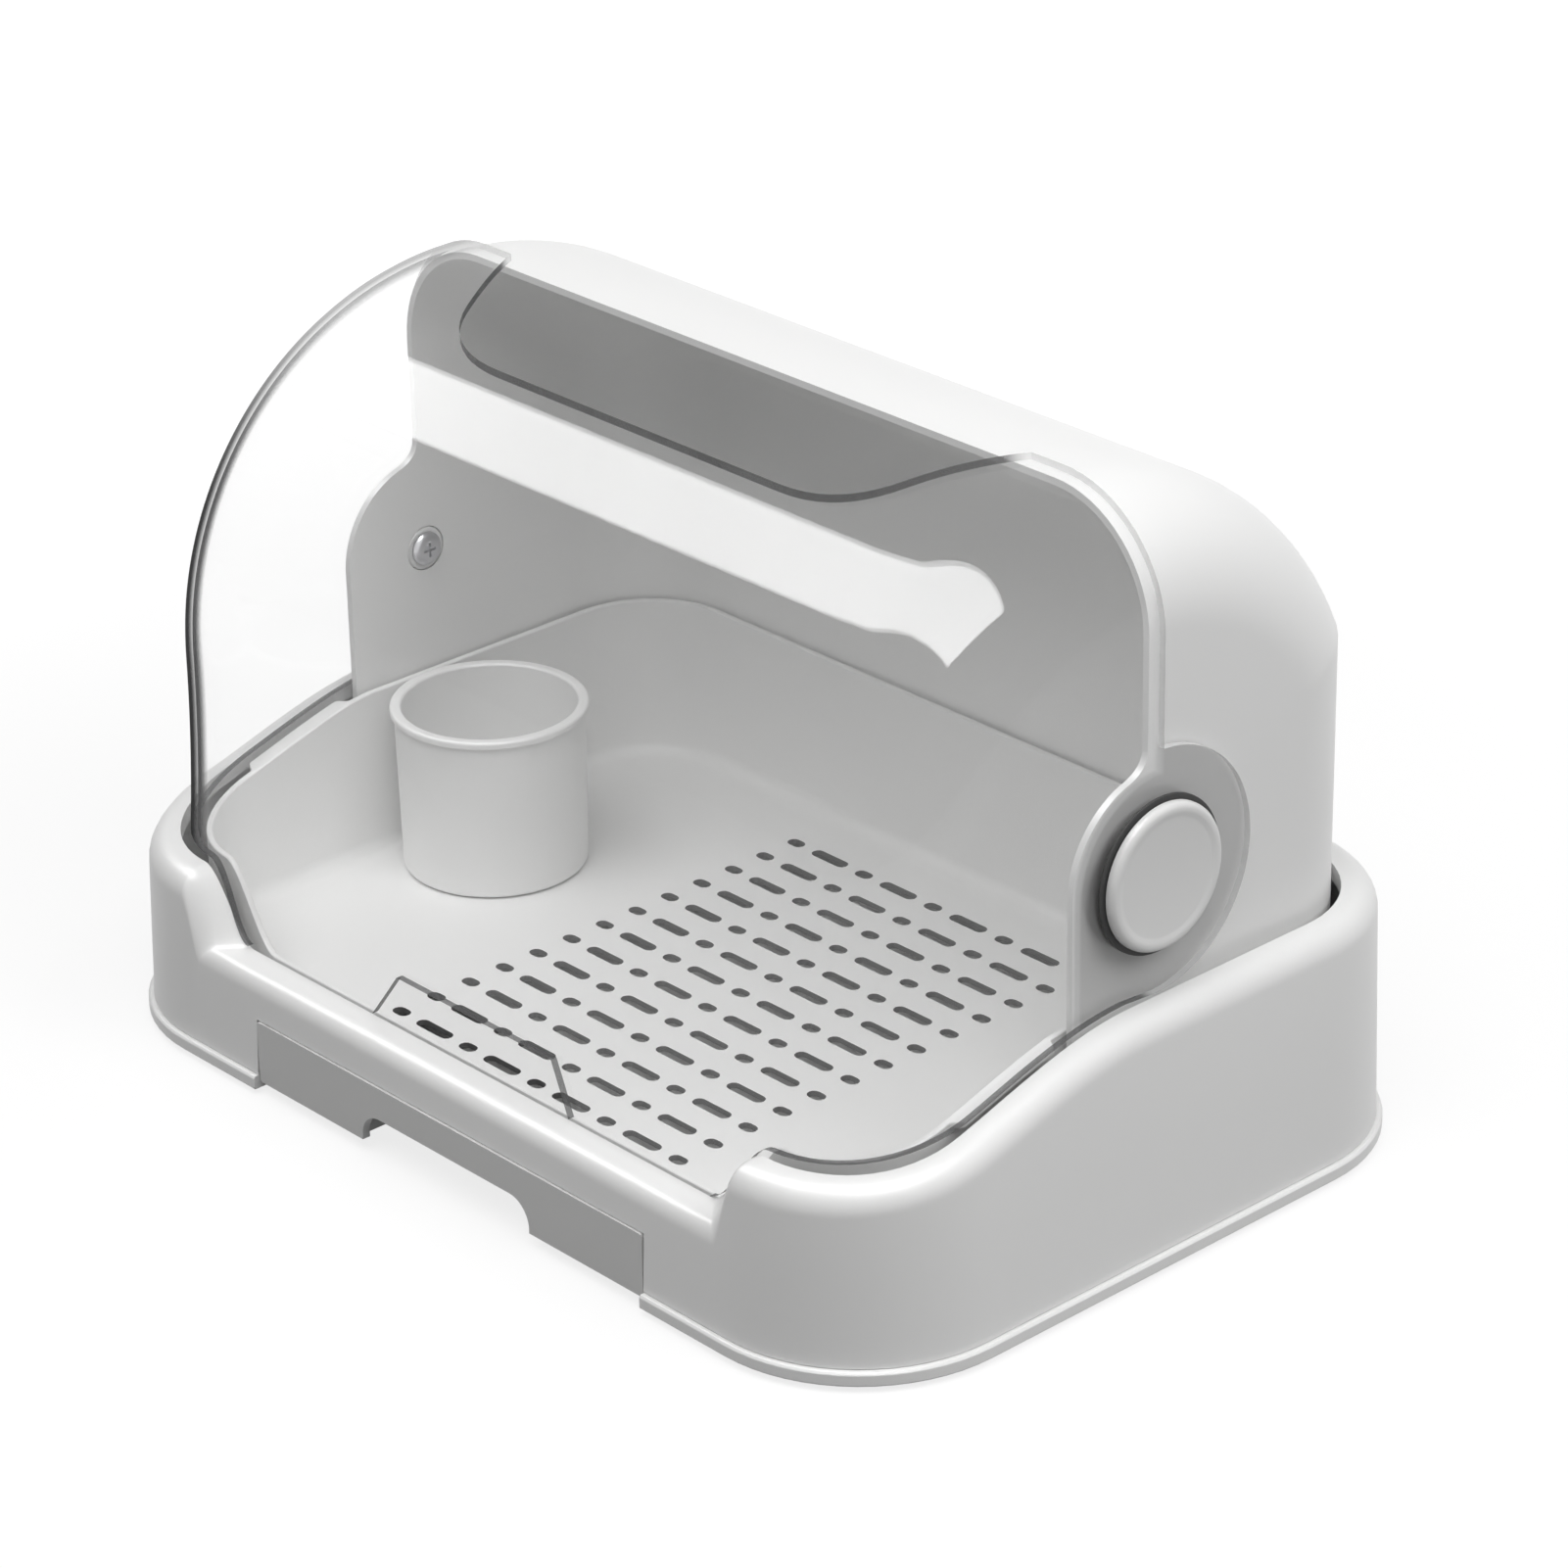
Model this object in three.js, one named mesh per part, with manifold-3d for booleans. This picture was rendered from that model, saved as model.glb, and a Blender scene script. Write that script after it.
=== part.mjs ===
// A baby bottle drying rack: a low base with a pull-out drip drawer, a slotted drain tray with a
// cup, a fixed rear hood and a clear visor that swings back over the hood on two side pivots.
// Millimetres. X runs to the right, Y to the back, Z up. The origin lies on the table, below the
// middle of the base.
import * as THREE from 'three';
import { mergeVertices } from 'three/addons/utils/BufferGeometryUtils.js';
import Module from 'manifold-3d';

const wasm = await Module();
wasm.setup();

// Clearances
const seatGap = 0.3;
const slideGap = 0.6;
const runGap = 0.8;
const cutOverrun = 5;

// Base housing
const baseWidth = 380;
const baseDepth = 263;
const baseCornerRadius = 55;
const wallThickness = 2.6;
const wallDraftInset = 1.7;
const rimBackHeight = 89;
const rimFrontHeight = 66;
const ledgeHeight = 42;
const rimRoundWidth = 8.5;
const rimRoundHeight = 9;
const ledgeRound = 6.5;
const rimSkin = 2.4;
const rimLipDrop = 6;
const rimRiseFrontMargin = 13.5;
const rimRiseEndLead = 13.2;
const ledgeRiseWidth = 24;
const ledgeRiseWidthOutside = 7;
const openingSideMargin = 12;
const openingFrontMargin = 14;
const openingCornerInset = 14;
const openingRearGap = 2;

// Shelf frame inside the base, which carries the drain tray and the hood, and the rib under it
const shelfTop = 24;
const shelfThickness = 2.4;
const shelfReach = 27;
const shelfCornerRadius = 25;
const shelfRibReach = 7.5;
const shelfRibThickness = 2.4;

// Bottom plate
const footHeight = 2;
const plateThickness = 3;
const plateLipHeight = 2;
const plateLipWidth = 5.4;
const plateOverhang = 2;
const plateBossRadius = 4.5;
const drawerRailHeight = 10;
const drawerRailThickness = 2;

// Rubber feet
const footRadius = 9;
const footSideInset = 34;
const footEndInset = 45.5;
const footStemRadius = 3;
const footBarbRadius = 4.2;
const footBarbHeight = 1.2;
const footPadTaper = 1;

// Screws under the base
const screwSideInset = 42;
const screwEndInset = 19.5;
const sideScrewInset = 14.5;
const sideScrewY = 16;
const screwShankRadius = 1.5;
const screwHeadRadius = 3.2;
const screwHeadHeight = 1.3;
const screwLength = 13;
const screwRecessRadius = 1;

// Drip drawer
const drawerFrontWidth = 191;
const drawerFrontTop = 27.1;
const drawerFrontThickness = 3;
const drawerSideInset = 4.5;
const drawerTopGap = 0.7;
const drawerRearInset = 35.5;
const drawerWall = 1.8;
const fingerArchWidth = 83;
const fingerArchTop = 15.4;
const fingerArchRadius = 9;
const fingerPocketDepth = 15;

// Drain tray
const traySideInset = 8;
const trayFrontGap = 8;
const trayRearGap = 1;
const trayCornerInset = 6.6;
const trayFloor = 2.2;
const trayWall = 2.2;
const trayRimBelowBase = 1;
const trayFrontDrop = 5.5;
const traySideDrop = 3;
const trayFlangeReach = 4;
const trayFlangeThickness = 2;
const trayFlangeEarGap = 5;
const trayFlangeFrontGap = 36.5;
const slotRows = 13;
const slotColumns = 9;
const slotPitchXShare = 0.1006;
const slotPitchYShare = 0.06679;
const slotWidth = 4.6;
const slotLong = 16.4;
const slotShort = 7;
const slotFieldLead = 4.35;

// Cup for small pieces
const cupSideGap = 0.7;
const cupRearOffset = 1.75;
const cupTopRadius = 32.9;
const cupRimReach = 1.4;
const cupDraft = 0.9;
const cupWall = 2;
const cupHeight = 60;
const cupRimHeight = 2.6;
const cupRimInset = 1.4;
const cupHoleRadius = 3;
const cupHoleRing = 18;
const cupHoleCount = 6;

// Pivots, visor and hood
const pivotY = 8.2;
const armRimGap = 0.2;
const visorSideGap = 1;
const visorFrontInset = 5.7;
const visorShoulder = 43;
const visorThickness = 2.4;
const visorRearReach = 2.2;
const visorArmRadius = 40.8;
const visorSideLift = 1.2;
const visorFrontLift = 1.6;
const visorFrontFlare = 7.5;
const visorRiseWidth = 23;
const handNotchTopWidth = 76;
const handNotchBottomWidth = 97;
const handNotchHeight = 16;
const ventRearSideMargin = 56;
const ventMidSideMargin = 77;
const ventMidReach = 39.4;
const ventInnerSideMargin = 90;
const ventInnerReach = 47.9;
const ventFrontSideMargin = 106;
const ventFrontReach = 52.4;

const hoodThickness = 2.4;
const hoodRearInset = 17.5;
const hoodRearCornerRadius = 38;
const hoodFrontLead = 1.5;
const hoodEarRadius = 33;
const hoodEarMeetHeight = 31.8;
const hoodEarCurveHeight = 2.6;
const hoodEarCurveTop = 40;
const hoodTabWidth = 14;
const hoodTabDrop = 5.5;
const hoodTabHook = 1.2;
const hoodTabFrontLead = 20.2;
const hoodTabRearInset = 52;

// Pivot hardware
const pivotBoreRadius = 8;
const pivotBossRadius = 7.7;
const washerRadius = 26;
const washerThickness = 1;
const knobRadius = 24.2;
const knobThickness = 3.2;
const knobChamfer = 1.4;
const pivotScrewHeadRadius = 6;
const pivotScrewHeadHeight = 2.2;
const pivotScrewShankRadius = 2;
const pivotScrewRecessRadius = 2.2;
const pivotScrewRecessDepth = 1.2;
const pivotScrewHeadTaper = 0.3;

// Mesh fineness, as counts
const cornerSteps = 6;
const riseSteps = 6;
const flareSteps = 3;
const rimOuterSteps = 4;
const rimInnerSteps = 3;
const drumSteps = 48;
const shoulderSteps = 6;
const roundSteps = 28;
const smallRoundSteps = 12;
const recessSteps = 6;
const slotEndSteps = 1;

// Sizes that follow. The covers, the tray and all below them keep to the base's width and depth.
const half = (size) => size / 2;
const baseHalfWidth = half(baseWidth);
const baseHalfDepth = half(baseDepth);
const plateBottom = footHeight;
const plateTop = plateBottom + plateThickness;
const housingBottom = plateTop + plateLipHeight + seatGap;
const shelfBottom = shelfTop - shelfThickness;

const hoodRear = baseHalfDepth - hoodRearInset;
const openingCornerRadius = baseCornerRadius - openingCornerInset;
const openingHalfWidth = baseHalfWidth - openingSideMargin;
const openingFront = -baseHalfDepth + openingFrontMargin;
const openingRear = hoodRear + openingRearGap;
const ledgeRiseStop = openingHalfWidth - openingCornerRadius;
const ledgeRiseStart = ledgeRiseStop - ledgeRiseWidth;
const rimRiseStart = -baseHalfDepth + rimRiseFrontMargin;
const rimRiseEnd = pivotY - rimRiseEndLead;

const pivotZ = rimBackHeight + visorArmRadius + armRimGap;
const visorHalfWidth = openingHalfWidth - visorSideGap;
const visorRadius = pivotY - openingFront - visorFrontInset;
const visorRearEdge = pivotY + visorRearReach;
const visorFrontBottom = ledgeHeight + visorFrontLift;
const hoodHalfWidth = visorHalfWidth - visorThickness - runGap;
const hoodRadius = visorRadius - visorThickness - runGap;
const hoodShoulder = visorShoulder - visorThickness - runGap;
const hoodFrontEdge = pivotY - hoodFrontLead;
const hoodBottom = shelfTop + seatGap;
const hoodTabPlaces = [pivotY - hoodTabFrontLead, hoodRear - hoodTabRearInset];
const washerInner = visorHalfWidth + seatGap;
const knobInner = washerInner + washerThickness + seatGap;

const trayHalfWidth = openingHalfWidth - traySideInset;
const trayFront = openingFront + trayFrontGap;
const trayRear = hoodRear - hoodThickness - trayRearGap;
const trayMiddle = half(trayFront + trayRear);
const trayCornerRadius = openingCornerRadius - trayCornerInset;
const traySideTop = rimBackHeight - traySideDrop;
const trayFlangeRear = pivotY - hoodEarRadius - trayFlangeEarGap;
const trayFlangeFront = trayFront + trayFlangeFrontGap;
const trayBottom = shelfTop + seatGap;
const trayFloorTop = trayBottom + trayFloor;
const slotPitchX = trayHalfWidth * slotPitchXShare;
const slotPitchY = (trayRear - trayFront) * slotPitchYShare;
const slotFieldCentreY = trayMiddle - slotFieldLead;
const cupRimRadius = cupTopRadius + cupRimReach;
const cupBottomRadius = cupTopRadius - cupDraft;
const cupX = cupRimRadius + cupSideGap + trayWall - trayHalfWidth;
const cupY = trayMiddle + cupRearOffset;

const drawerBottom = plateTop + seatGap;
const drawerFace = -baseHalfDepth + seatGap;
const drawerFrontBottom = plateTop - seatGap;
const drawerWidth = drawerFrontWidth - 2 * drawerSideInset;
const drawerTop = shelfBottom - drawerTopGap;
const drawerRear = baseHalfDepth - drawerRearInset;
const footX = baseHalfWidth - footSideInset;
const footY = baseHalfDepth - footEndInset;
const screwX = baseHalfWidth - screwSideInset;
const screwY = baseHalfDepth - screwEndInset;
const sideScrewX = baseHalfWidth - sideScrewInset;

// White and grey plastics, the clear visor, dark rubber and plated steel
const paint = (color, roughness, metalness = 0) =>
  new THREE.MeshStandardMaterial({ color, roughness, metalness });
const materials = {
  shell: () => paint(0xe9e9e7, 0.35),
  inner: () => paint(0xdededb, 0.4),
  drawer: () => paint(0xc9c9c7, 0.45),
  clear: () => new THREE.MeshStandardMaterial({
    color: 0xdfe4e6, roughness: 0.05, metalness: 0, transparent: true, opacity: 0.3,
  }),
  rubber: () => paint(0x2b2b2c, 0.8),
  knob: () => paint(0xd4d4d2, 0.3),
  steel: () => paint(0xb9bcc0, 0.3, 0.9),
};

// Solids
function toSolid(geometry) {
  const bare = geometry.index ? geometry.toNonIndexed() : geometry.clone();
  bare.deleteAttribute('normal');
  bare.deleteAttribute('uv');
  const merged = mergeVertices(bare);
  const position = merged.attributes.position;
  const index = Array.from(merged.index.array);
  const triangles = [];
  let volume = 0;
  const [a, b, c] = [new THREE.Vector3(), new THREE.Vector3(), new THREE.Vector3()];
  for (let i = 0; i < index.length; i += 3) {
    const [p, q, r] = index.slice(i, i + 3);
    if (p === q || q === r || r === p) continue;
    triangles.push(p, q, r);
    a.fromBufferAttribute(position, p);
    b.fromBufferAttribute(position, q);
    c.fromBufferAttribute(position, r);
    volume += a.dot(b.cross(c));
  }
  if (volume < 0) triangles.reverse();
  return new wasm.Manifold(new wasm.Mesh({
    numProp: 3,
    vertProperties: new Float32Array(position.array),
    triVerts: new Uint32Array(triangles),
  }));
}

function toGeometry(solid) {
  const mesh = solid.getMesh();
  const geometry = new THREE.BufferGeometry();
  geometry.setAttribute('position', new THREE.BufferAttribute(new Float32Array(mesh.vertProperties), 3));
  geometry.setIndex(new THREE.BufferAttribute(new Uint32Array(mesh.triVerts), 1));
  const flat = geometry.toNonIndexed();
  flat.computeVertexNormals();
  return flat;
}

const cut = (solid, ...tools) => tools.reduce((rest, tool) => rest.subtract(tool), solid);
const join = (solid, ...others) => others.reduce((sum, other) => sum.add(other), solid);

function boxBetween([x0, y0, z0], [x1, y1, z1]) {
  const geometry = new THREE.BoxGeometry(x1 - x0, y1 - y0, z1 - z0);
  geometry.translate(half(x0 + x1), half(y0 + y1), half(z0 + z1));
  return toSolid(geometry);
}

function extrude(shape, depth, steps) {
  return new THREE.ExtrudeGeometry(shape, { depth, bevelEnabled: false, curveSegments: steps });
}

// A plan outline in X and Y, drawn up from z0 to z1.
function prismZ(shape, z0, z1, steps = cornerSteps) {
  const geometry = extrude(shape, z1 - z0, steps);
  geometry.translate(0, 0, z0);
  return toSolid(geometry);
}

// A side outline in Y and Z, drawn across from x0 to x1.
function prismX(shape, x0, x1, steps = cornerSteps) {
  const geometry = extrude(shape, x1 - x0, steps);
  const turn = new THREE.Matrix4().makeBasis(
    new THREE.Vector3(0, 1, 0), new THREE.Vector3(0, 0, 1), new THREE.Vector3(1, 0, 0));
  geometry.applyMatrix4(turn);
  geometry.translate(x0, 0, 0);
  return toSolid(geometry);
}

// A front outline in X and Z, drawn back from y0 to y1.
function prismY(shape, y0, y1, steps = cornerSteps) {
  const geometry = extrude(shape, y1 - y0, steps);
  geometry.rotateX(half(Math.PI));
  geometry.translate(0, y1, 0);
  return toSolid(geometry);
}

function cylinderZ(radius, z0, z1, x, y, steps = smallRoundSteps, topRadius = radius) {
  const geometry = new THREE.CylinderGeometry(topRadius, radius, z1 - z0, steps);
  geometry.rotateX(half(Math.PI));
  geometry.translate(x, y, half(z0 + z1));
  return toSolid(geometry);
}

function cylinderX(radius, x0, x1, steps = roundSteps, outerRadius = radius) {
  const geometry = new THREE.CylinderGeometry(outerRadius, radius, x1 - x0, steps);
  geometry.rotateZ(-half(Math.PI));
  geometry.translate(half(x0 + x1), pivotY, pivotZ);
  return toSolid(geometry);
}

const mirrorX = (solid) => {
  const geometry = toGeometry(solid);
  geometry.scale(-1, 1, 1);
  return toSolid(geometry);
};

function polygon(points) {
  return new THREE.Shape(points.map(([a, b]) => new THREE.Vector2(a, b)));
}

// A plan rectangle with round corners, symmetrical about the middle plane.
function planShape({ halfWidth, front, rear, frontRadius, rearRadius }) {
  const shape = new THREE.Shape();
  const quarter = half(Math.PI);
  shape.moveTo(-halfWidth + frontRadius, front);
  shape.absarc(halfWidth - frontRadius, front + frontRadius, frontRadius, -quarter, 0, false);
  shape.absarc(halfWidth - rearRadius, rear - rearRadius, rearRadius, 0, quarter, false);
  shape.absarc(-halfWidth + rearRadius, rear - rearRadius, rearRadius, quarter, Math.PI, false);
  shape.absarc(-halfWidth + frontRadius, front + frontRadius, frontRadius, Math.PI, 3 * quarter, false);
  return shape;
}

const inset = (plan, by) => ({
  halfWidth: plan.halfWidth - by,
  front: plan.front + by,
  rear: plan.rear - by,
  frontRadius: plan.frontRadius - by,
  rearRadius: plan.rearRadius - by,
});

const smooth = (value, start, stop) => THREE.MathUtils.smoothstep(value, start, stop);

// The rim's height above the table: low at the front ledge, a step up at each end of the ledge,
// and a gentle rise along each side.
const rimSideHeight = (y) =>
  THREE.MathUtils.lerp(rimFrontHeight, rimBackHeight, smooth(y, rimRiseStart, rimRiseEnd));
const ledgeRiseShare = (x, y) => (y > 0 ? 1 : smooth(Math.abs(x), ledgeRiseStart, ledgeRiseStop));

// Base housing
const basePlan = {
  halfWidth: baseHalfWidth,
  front: -baseHalfDepth,
  rear: baseHalfDepth,
  frontRadius: baseCornerRadius,
  rearRadius: baseCornerRadius,
};
const openingPlan = {
  halfWidth: openingHalfWidth,
  front: openingFront,
  rear: openingRear,
  frontRadius: openingCornerRadius,
  rearRadius: openingCornerRadius,
};

// Places around a plan outline, with the same number on every outline, so that two outlines pair up.
function planStations(plan, riseWidth) {
  const { halfWidth, front, rear, frontRadius, rearRadius } = plan;
  const rightHalf = [];
  const straight = halfWidth - frontRadius;
  rightHalf.push([0, front]);
  for (let i = 0; i < riseSteps; i += 1) {
    rightHalf.push([THREE.MathUtils.lerp(straight - riseWidth, straight, i / riseSteps), front]);
  }
  for (let i = 0; i <= cornerSteps; i += 1) {
    const angle = half(Math.PI) * (i / cornerSteps);
    rightHalf.push([straight + frontRadius * Math.sin(angle), front + frontRadius * (1 - Math.cos(angle))]);
  }
  const sideStart = front + frontRadius;
  const sideEnd = rear - rearRadius;
  for (let i = 1; i <= riseSteps; i += 1) {
    const reach = i / riseSteps;
    rightHalf.push([halfWidth, THREE.MathUtils.lerp(sideStart, Math.max(rimRiseEnd, sideStart), reach)]);
  }
  for (let i = 0; i <= cornerSteps; i += 1) {
    const angle = half(Math.PI) * (i / cornerSteps);
    const x = halfWidth - rearRadius * (1 - Math.cos(angle));
    rightHalf.push([x, sideEnd + rearRadius * Math.sin(angle)]);
  }
  const leftHalf = rightHalf.slice(1).reverse().map(([x, y]) => [-x, y]);
  return [...rightHalf, ...leftHalf];
}

function quarterArc(steps) {
  return Array.from({ length: steps + 1 }, (_, i) => half(Math.PI) * (i / steps));
}

// The wall's section at one place: up the outside, over the rounded rim, down the inner lip and
// back under the rim to the foot of the wall. Each point is a distance in from the outline and a
// height.
function rimSection(width, top, roundWidth, roundHeight) {
  const shoulder = top - roundHeight;
  const outer = quarterArc(rimOuterSteps).map((angle) => [
    wallDraftInset + roundWidth * (1 - Math.cos(angle)), shoulder + roundHeight * Math.sin(angle),
  ]);
  const under = quarterArc(rimInnerSteps).reverse().map((angle) => [
    wallDraftInset + rimSkin + (roundWidth - rimSkin) * (1 - Math.cos(angle)),
    shoulder + (roundHeight - rimSkin) * Math.sin(angle),
  ]);
  return [
    [0, housingBottom],
    ...outer,
    [width, top],
    [width, top - rimLipDrop],
    [width - rimSkin, top - rimLipDrop],
    [width - rimSkin, top - rimSkin],
    ...under,
    [wallThickness, housingBottom],
    [0, housingBottom],
  ];
}

// A closed ring swept around the base: a lathe's net of points, moved to the wall's sections.
function sweptWall() {
  const outer = planStations(basePlan, ledgeRiseWidthOutside);
  const inner = planStations(openingPlan, ledgeRiseWidth);
  const sections = inner.map(([x, y], i) => {
    const width = Math.hypot(outer[i][0] - x, outer[i][1] - y);
    const share = ledgeRiseShare(x, y);
    const top = THREE.MathUtils.lerp(ledgeHeight, rimSideHeight(y), share);
    const roundWidth = THREE.MathUtils.lerp(ledgeRound, rimRoundWidth, share);
    const roundHeight = THREE.MathUtils.lerp(ledgeRound, rimRoundHeight, share);
    return { width, points: rimSection(width, top, roundWidth, roundHeight) };
  });
  const count = sections[0].points.length;
  const net = sections[0].points.map(([a, b]) => new THREE.Vector2(a, b));
  const geometry = new THREE.LatheGeometry(net, outer.length);
  const position = geometry.attributes.position;
  for (let i = 0; i <= outer.length; i += 1) {
    const place = i % outer.length;
    const { width, points } = sections[place];
    points.forEach(([distance, z], j) => {
      const share = distance / width;
      const x = THREE.MathUtils.lerp(outer[place][0], inner[place][0], share);
      const y = THREE.MathUtils.lerp(outer[place][1], inner[place][1], share);
      position.setXYZ(i * count + j, x, y, z);
    });
  }
  return toSolid(geometry);
}

const drawerMouthHalfWidth = half(drawerFrontWidth) + slideGap;
const drawerMouthTop = drawerFrontTop + seatGap;

const plateScrewPlaces = [
  [-screwX, -screwY], [screwX, -screwY], [-screwX, screwY], [screwX, screwY],
  [-sideScrewX, sideScrewY], [sideScrewX, sideScrewY],
];

const hoodTabOuter = hoodHalfWidth + hoodTabHook;
const hoodTabInner = hoodHalfWidth - hoodThickness;

function baseHousing() {
  const ribTop = shelfBottom - seatGap;
  const rib = cut(
    prismZ(planShape(inset(basePlan, half(wallThickness) + seatGap)), ribTop - shelfRibThickness, ribTop),
    prismZ(planShape(inset(basePlan, shelfRibReach)), 0, ribTop + cutOverrun),
    boxBetween([-drawerMouthHalfWidth, -baseHalfDepth, 0], [drawerMouthHalfWidth, 0, ribTop + cutOverrun]));
  const mouth = boxBetween(
    [-drawerMouthHalfWidth, -baseHalfDepth - cutOverrun, 0],
    [drawerMouthHalfWidth, drawerFace + drawerFrontThickness + slideGap, drawerMouthTop]);
  return cut(join(sweptWall(), rib), mouth);
}

// Shelf frame: a flat ring on the housing's rib, with bosses down to the bottom plate
function shelfFrame() {
  const outline = inset(basePlan, wallThickness + wallDraftInset);
  const hole = {
    ...inset(basePlan, shelfReach),
    frontRadius: shelfCornerRadius,
    rearRadius: shelfCornerRadius,
  };
  const ring = cut(
    prismZ(planShape(outline), shelfBottom, shelfTop),
    prismZ(planShape(hole), shelfBottom - cutOverrun, shelfTop + cutOverrun));
  const bosses = plateScrewPlaces.map(([x, y]) =>
    cylinderZ(plateBossRadius, plateTop + seatGap, shelfBottom + half(shelfThickness), x, y));
  const bores = plateScrewPlaces.map(([x, y]) =>
    cylinderZ(screwShankRadius + seatGap, plateTop - cutOverrun, plateTop + screwLength + seatGap, x, y));
  const tabSlots = hoodTabPlaces.flatMap((y) => [-1, 1].map((side) => {
    const near = side * (hoodTabInner - seatGap);
    const far = side * (hoodTabOuter + seatGap);
    return boxBetween(
      [Math.min(near, far), y - half(hoodTabWidth) - seatGap, shelfBottom - cutOverrun],
      [Math.max(near, far), y + half(hoodTabWidth) + seatGap, shelfTop + cutOverrun]);
  }));
  return cut(join(ring, ...bosses), ...bores, ...tabSlots);
}

// Bottom plate with its lip, drawer rails and holes for the screws and feet
const footPlaces = [
  ['front_left', -footX, -footY], ['front_right', footX, -footY],
  ['rear_left', -footX, footY], ['rear_right', footX, footY],
];
const railInner = half(drawerWidth) + slideGap;

function bottomPlate() {
  const platePlan = inset(basePlan, -plateOverhang);
  const lipTop = plateTop + plateLipHeight;
  const slab = prismZ(planShape(platePlan), plateBottom, lipTop);
  const hollow = prismZ(planShape(inset(platePlan, plateLipWidth)), plateTop, lipTop + cutOverrun);
  const front = drawerFace + fingerPocketDepth + drawerFrontThickness;
  const notch = boxBetween(
    [-drawerMouthHalfWidth, -baseHalfDepth - cutOverrun, 0],
    [drawerMouthHalfWidth, front, lipTop + cutOverrun]);
  const railTop = plateTop + drawerRailHeight;
  const rails = [-1, 1].map((side) => {
    const near = side * railInner;
    const far = side * (railInner + drawerRailThickness);
    return boxBetween(
      [Math.min(near, far), front + slideGap, plateTop - half(plateThickness)],
      [Math.max(near, far), drawerRear + slideGap + drawerRailThickness, railTop]);
  });
  const stop = boxBetween(
    [-railInner - half(drawerRailThickness), drawerRear + slideGap, plateTop - half(plateThickness)],
    [railInner + half(drawerRailThickness), drawerRear + slideGap + drawerRailThickness, railTop]);
  const recessTop = plateBottom + screwHeadHeight + 2 * seatGap;
  const screwHoles = plateScrewPlaces.flatMap(([x, y]) => [
    cylinderZ(screwShankRadius + seatGap, 0, plateTop + cutOverrun, x, y),
    cylinderZ(screwHeadRadius + seatGap, 0, recessTop, x, y),
  ]);
  const footHoles = footPlaces.map(([, x, y]) =>
    cylinderZ(footStemRadius + seatGap, 0, plateTop + cutOverrun, x, y));
  return cut(join(cut(slab, hollow, notch), ...rails, stop), ...screwHoles, ...footHoles);
}

function rubberFoot(x, y) {
  const padTop = plateBottom - seatGap;
  const barbBottom = plateTop + seatGap;
  const barbTop = barbBottom + footBarbHeight;
  return join(
    cylinderZ(footRadius - footPadTaper, 0, padTop, x, y, roundSteps, footRadius),
    cylinderZ(footStemRadius, padTop - seatGap, barbTop, x, y),
    cylinderZ(footBarbRadius, barbBottom, barbTop, x, y, smallRoundSteps, footStemRadius));
}

function plateScrew(x, y) {
  const headBottom = plateBottom + seatGap;
  const headTop = headBottom + screwHeadHeight;
  const head = cylinderZ(screwHeadRadius, headBottom, headTop, x, y);
  const shank = cylinderZ(screwShankRadius, headTop - seatGap, plateTop + screwLength, x, y);
  const recess = cylinderZ(screwRecessRadius, 0, headBottom + half(screwHeadHeight), x, y, smallRoundSteps);
  return cut(join(head, shank), recess);
}

// Drip drawer: a shallow tub behind a front panel, with a finger pocket under an arch
function archShape() {
  const [side, top, radius] = [half(fingerArchWidth), fingerArchTop, fingerArchRadius];
  const shape = new THREE.Shape();
  shape.moveTo(-side, 0);
  shape.lineTo(side, 0);
  shape.lineTo(side, top - radius);
  shape.absarc(side - radius, top - radius, radius, 0, half(Math.PI), false);
  shape.absarc(-side + radius, top - radius, radius, half(Math.PI), Math.PI, false);
  return shape;
}

function dripDrawer() {
  const side = half(drawerWidth);
  const panelBack = drawerFace + drawerFrontThickness;
  const pocketSide = half(fingerArchWidth) + drawerWall;
  const pocketBack = panelBack + fingerPocketDepth;
  const floorTop = drawerBottom + drawerWall;
  const body = boxBetween(
    [-side, panelBack - half(drawerFrontThickness), drawerBottom],
    [side, drawerRear, drawerTop]);
  const mainHollow = boxBetween(
    [-side + drawerWall, pocketBack + drawerWall, floorTop],
    [side - drawerWall, drawerRear - drawerWall, drawerTop + cutOverrun]);
  const sideHollows = [-1, 1].map((hand) => {
    const near = hand * (pocketSide + drawerWall);
    const far = hand * (side - drawerWall);
    return boxBetween(
      [Math.min(near, far), panelBack, floorTop],
      [Math.max(near, far), pocketBack + 2 * drawerWall, drawerTop + cutOverrun]);
  });
  const pocket = boxBetween(
    [-pocketSide, panelBack - cutOverrun, 0],
    [pocketSide, pocketBack, drawerTop - drawerWall]);
  const panel = boxBetween(
    [-half(drawerFrontWidth), drawerFace, drawerFrontBottom],
    [half(drawerFrontWidth), panelBack, drawerFrontTop]);
  const arch = prismY(archShape(), drawerFace - cutOverrun, panelBack + half(fingerPocketDepth));
  return cut(join(cut(body, mainHollow, ...sideHollows, pocket), panel), arch);
}

// Drain tray: a tub that lies on the shelf, with rows of long and short drain slots
const trayPlan = {
  halfWidth: trayHalfWidth,
  front: trayFront,
  rear: trayRear,
  frontRadius: trayCornerRadius,
  rearRadius: trayCornerRadius,
};

// The tray's top edge lies just below the base's rim, and below the hood's ears behind it.
const traySide = (y) => Math.min(rimSideHeight(y) - trayRimBelowBase, traySideTop);

function riseLine(height) {
  const samples = 2 * riseSteps;
  return Array.from({ length: samples + 1 }, (_, i) => {
    const y = THREE.MathUtils.lerp(rimRiseStart, rimRiseEnd, i / samples);
    return [y, height(y)];
  });
}

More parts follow.
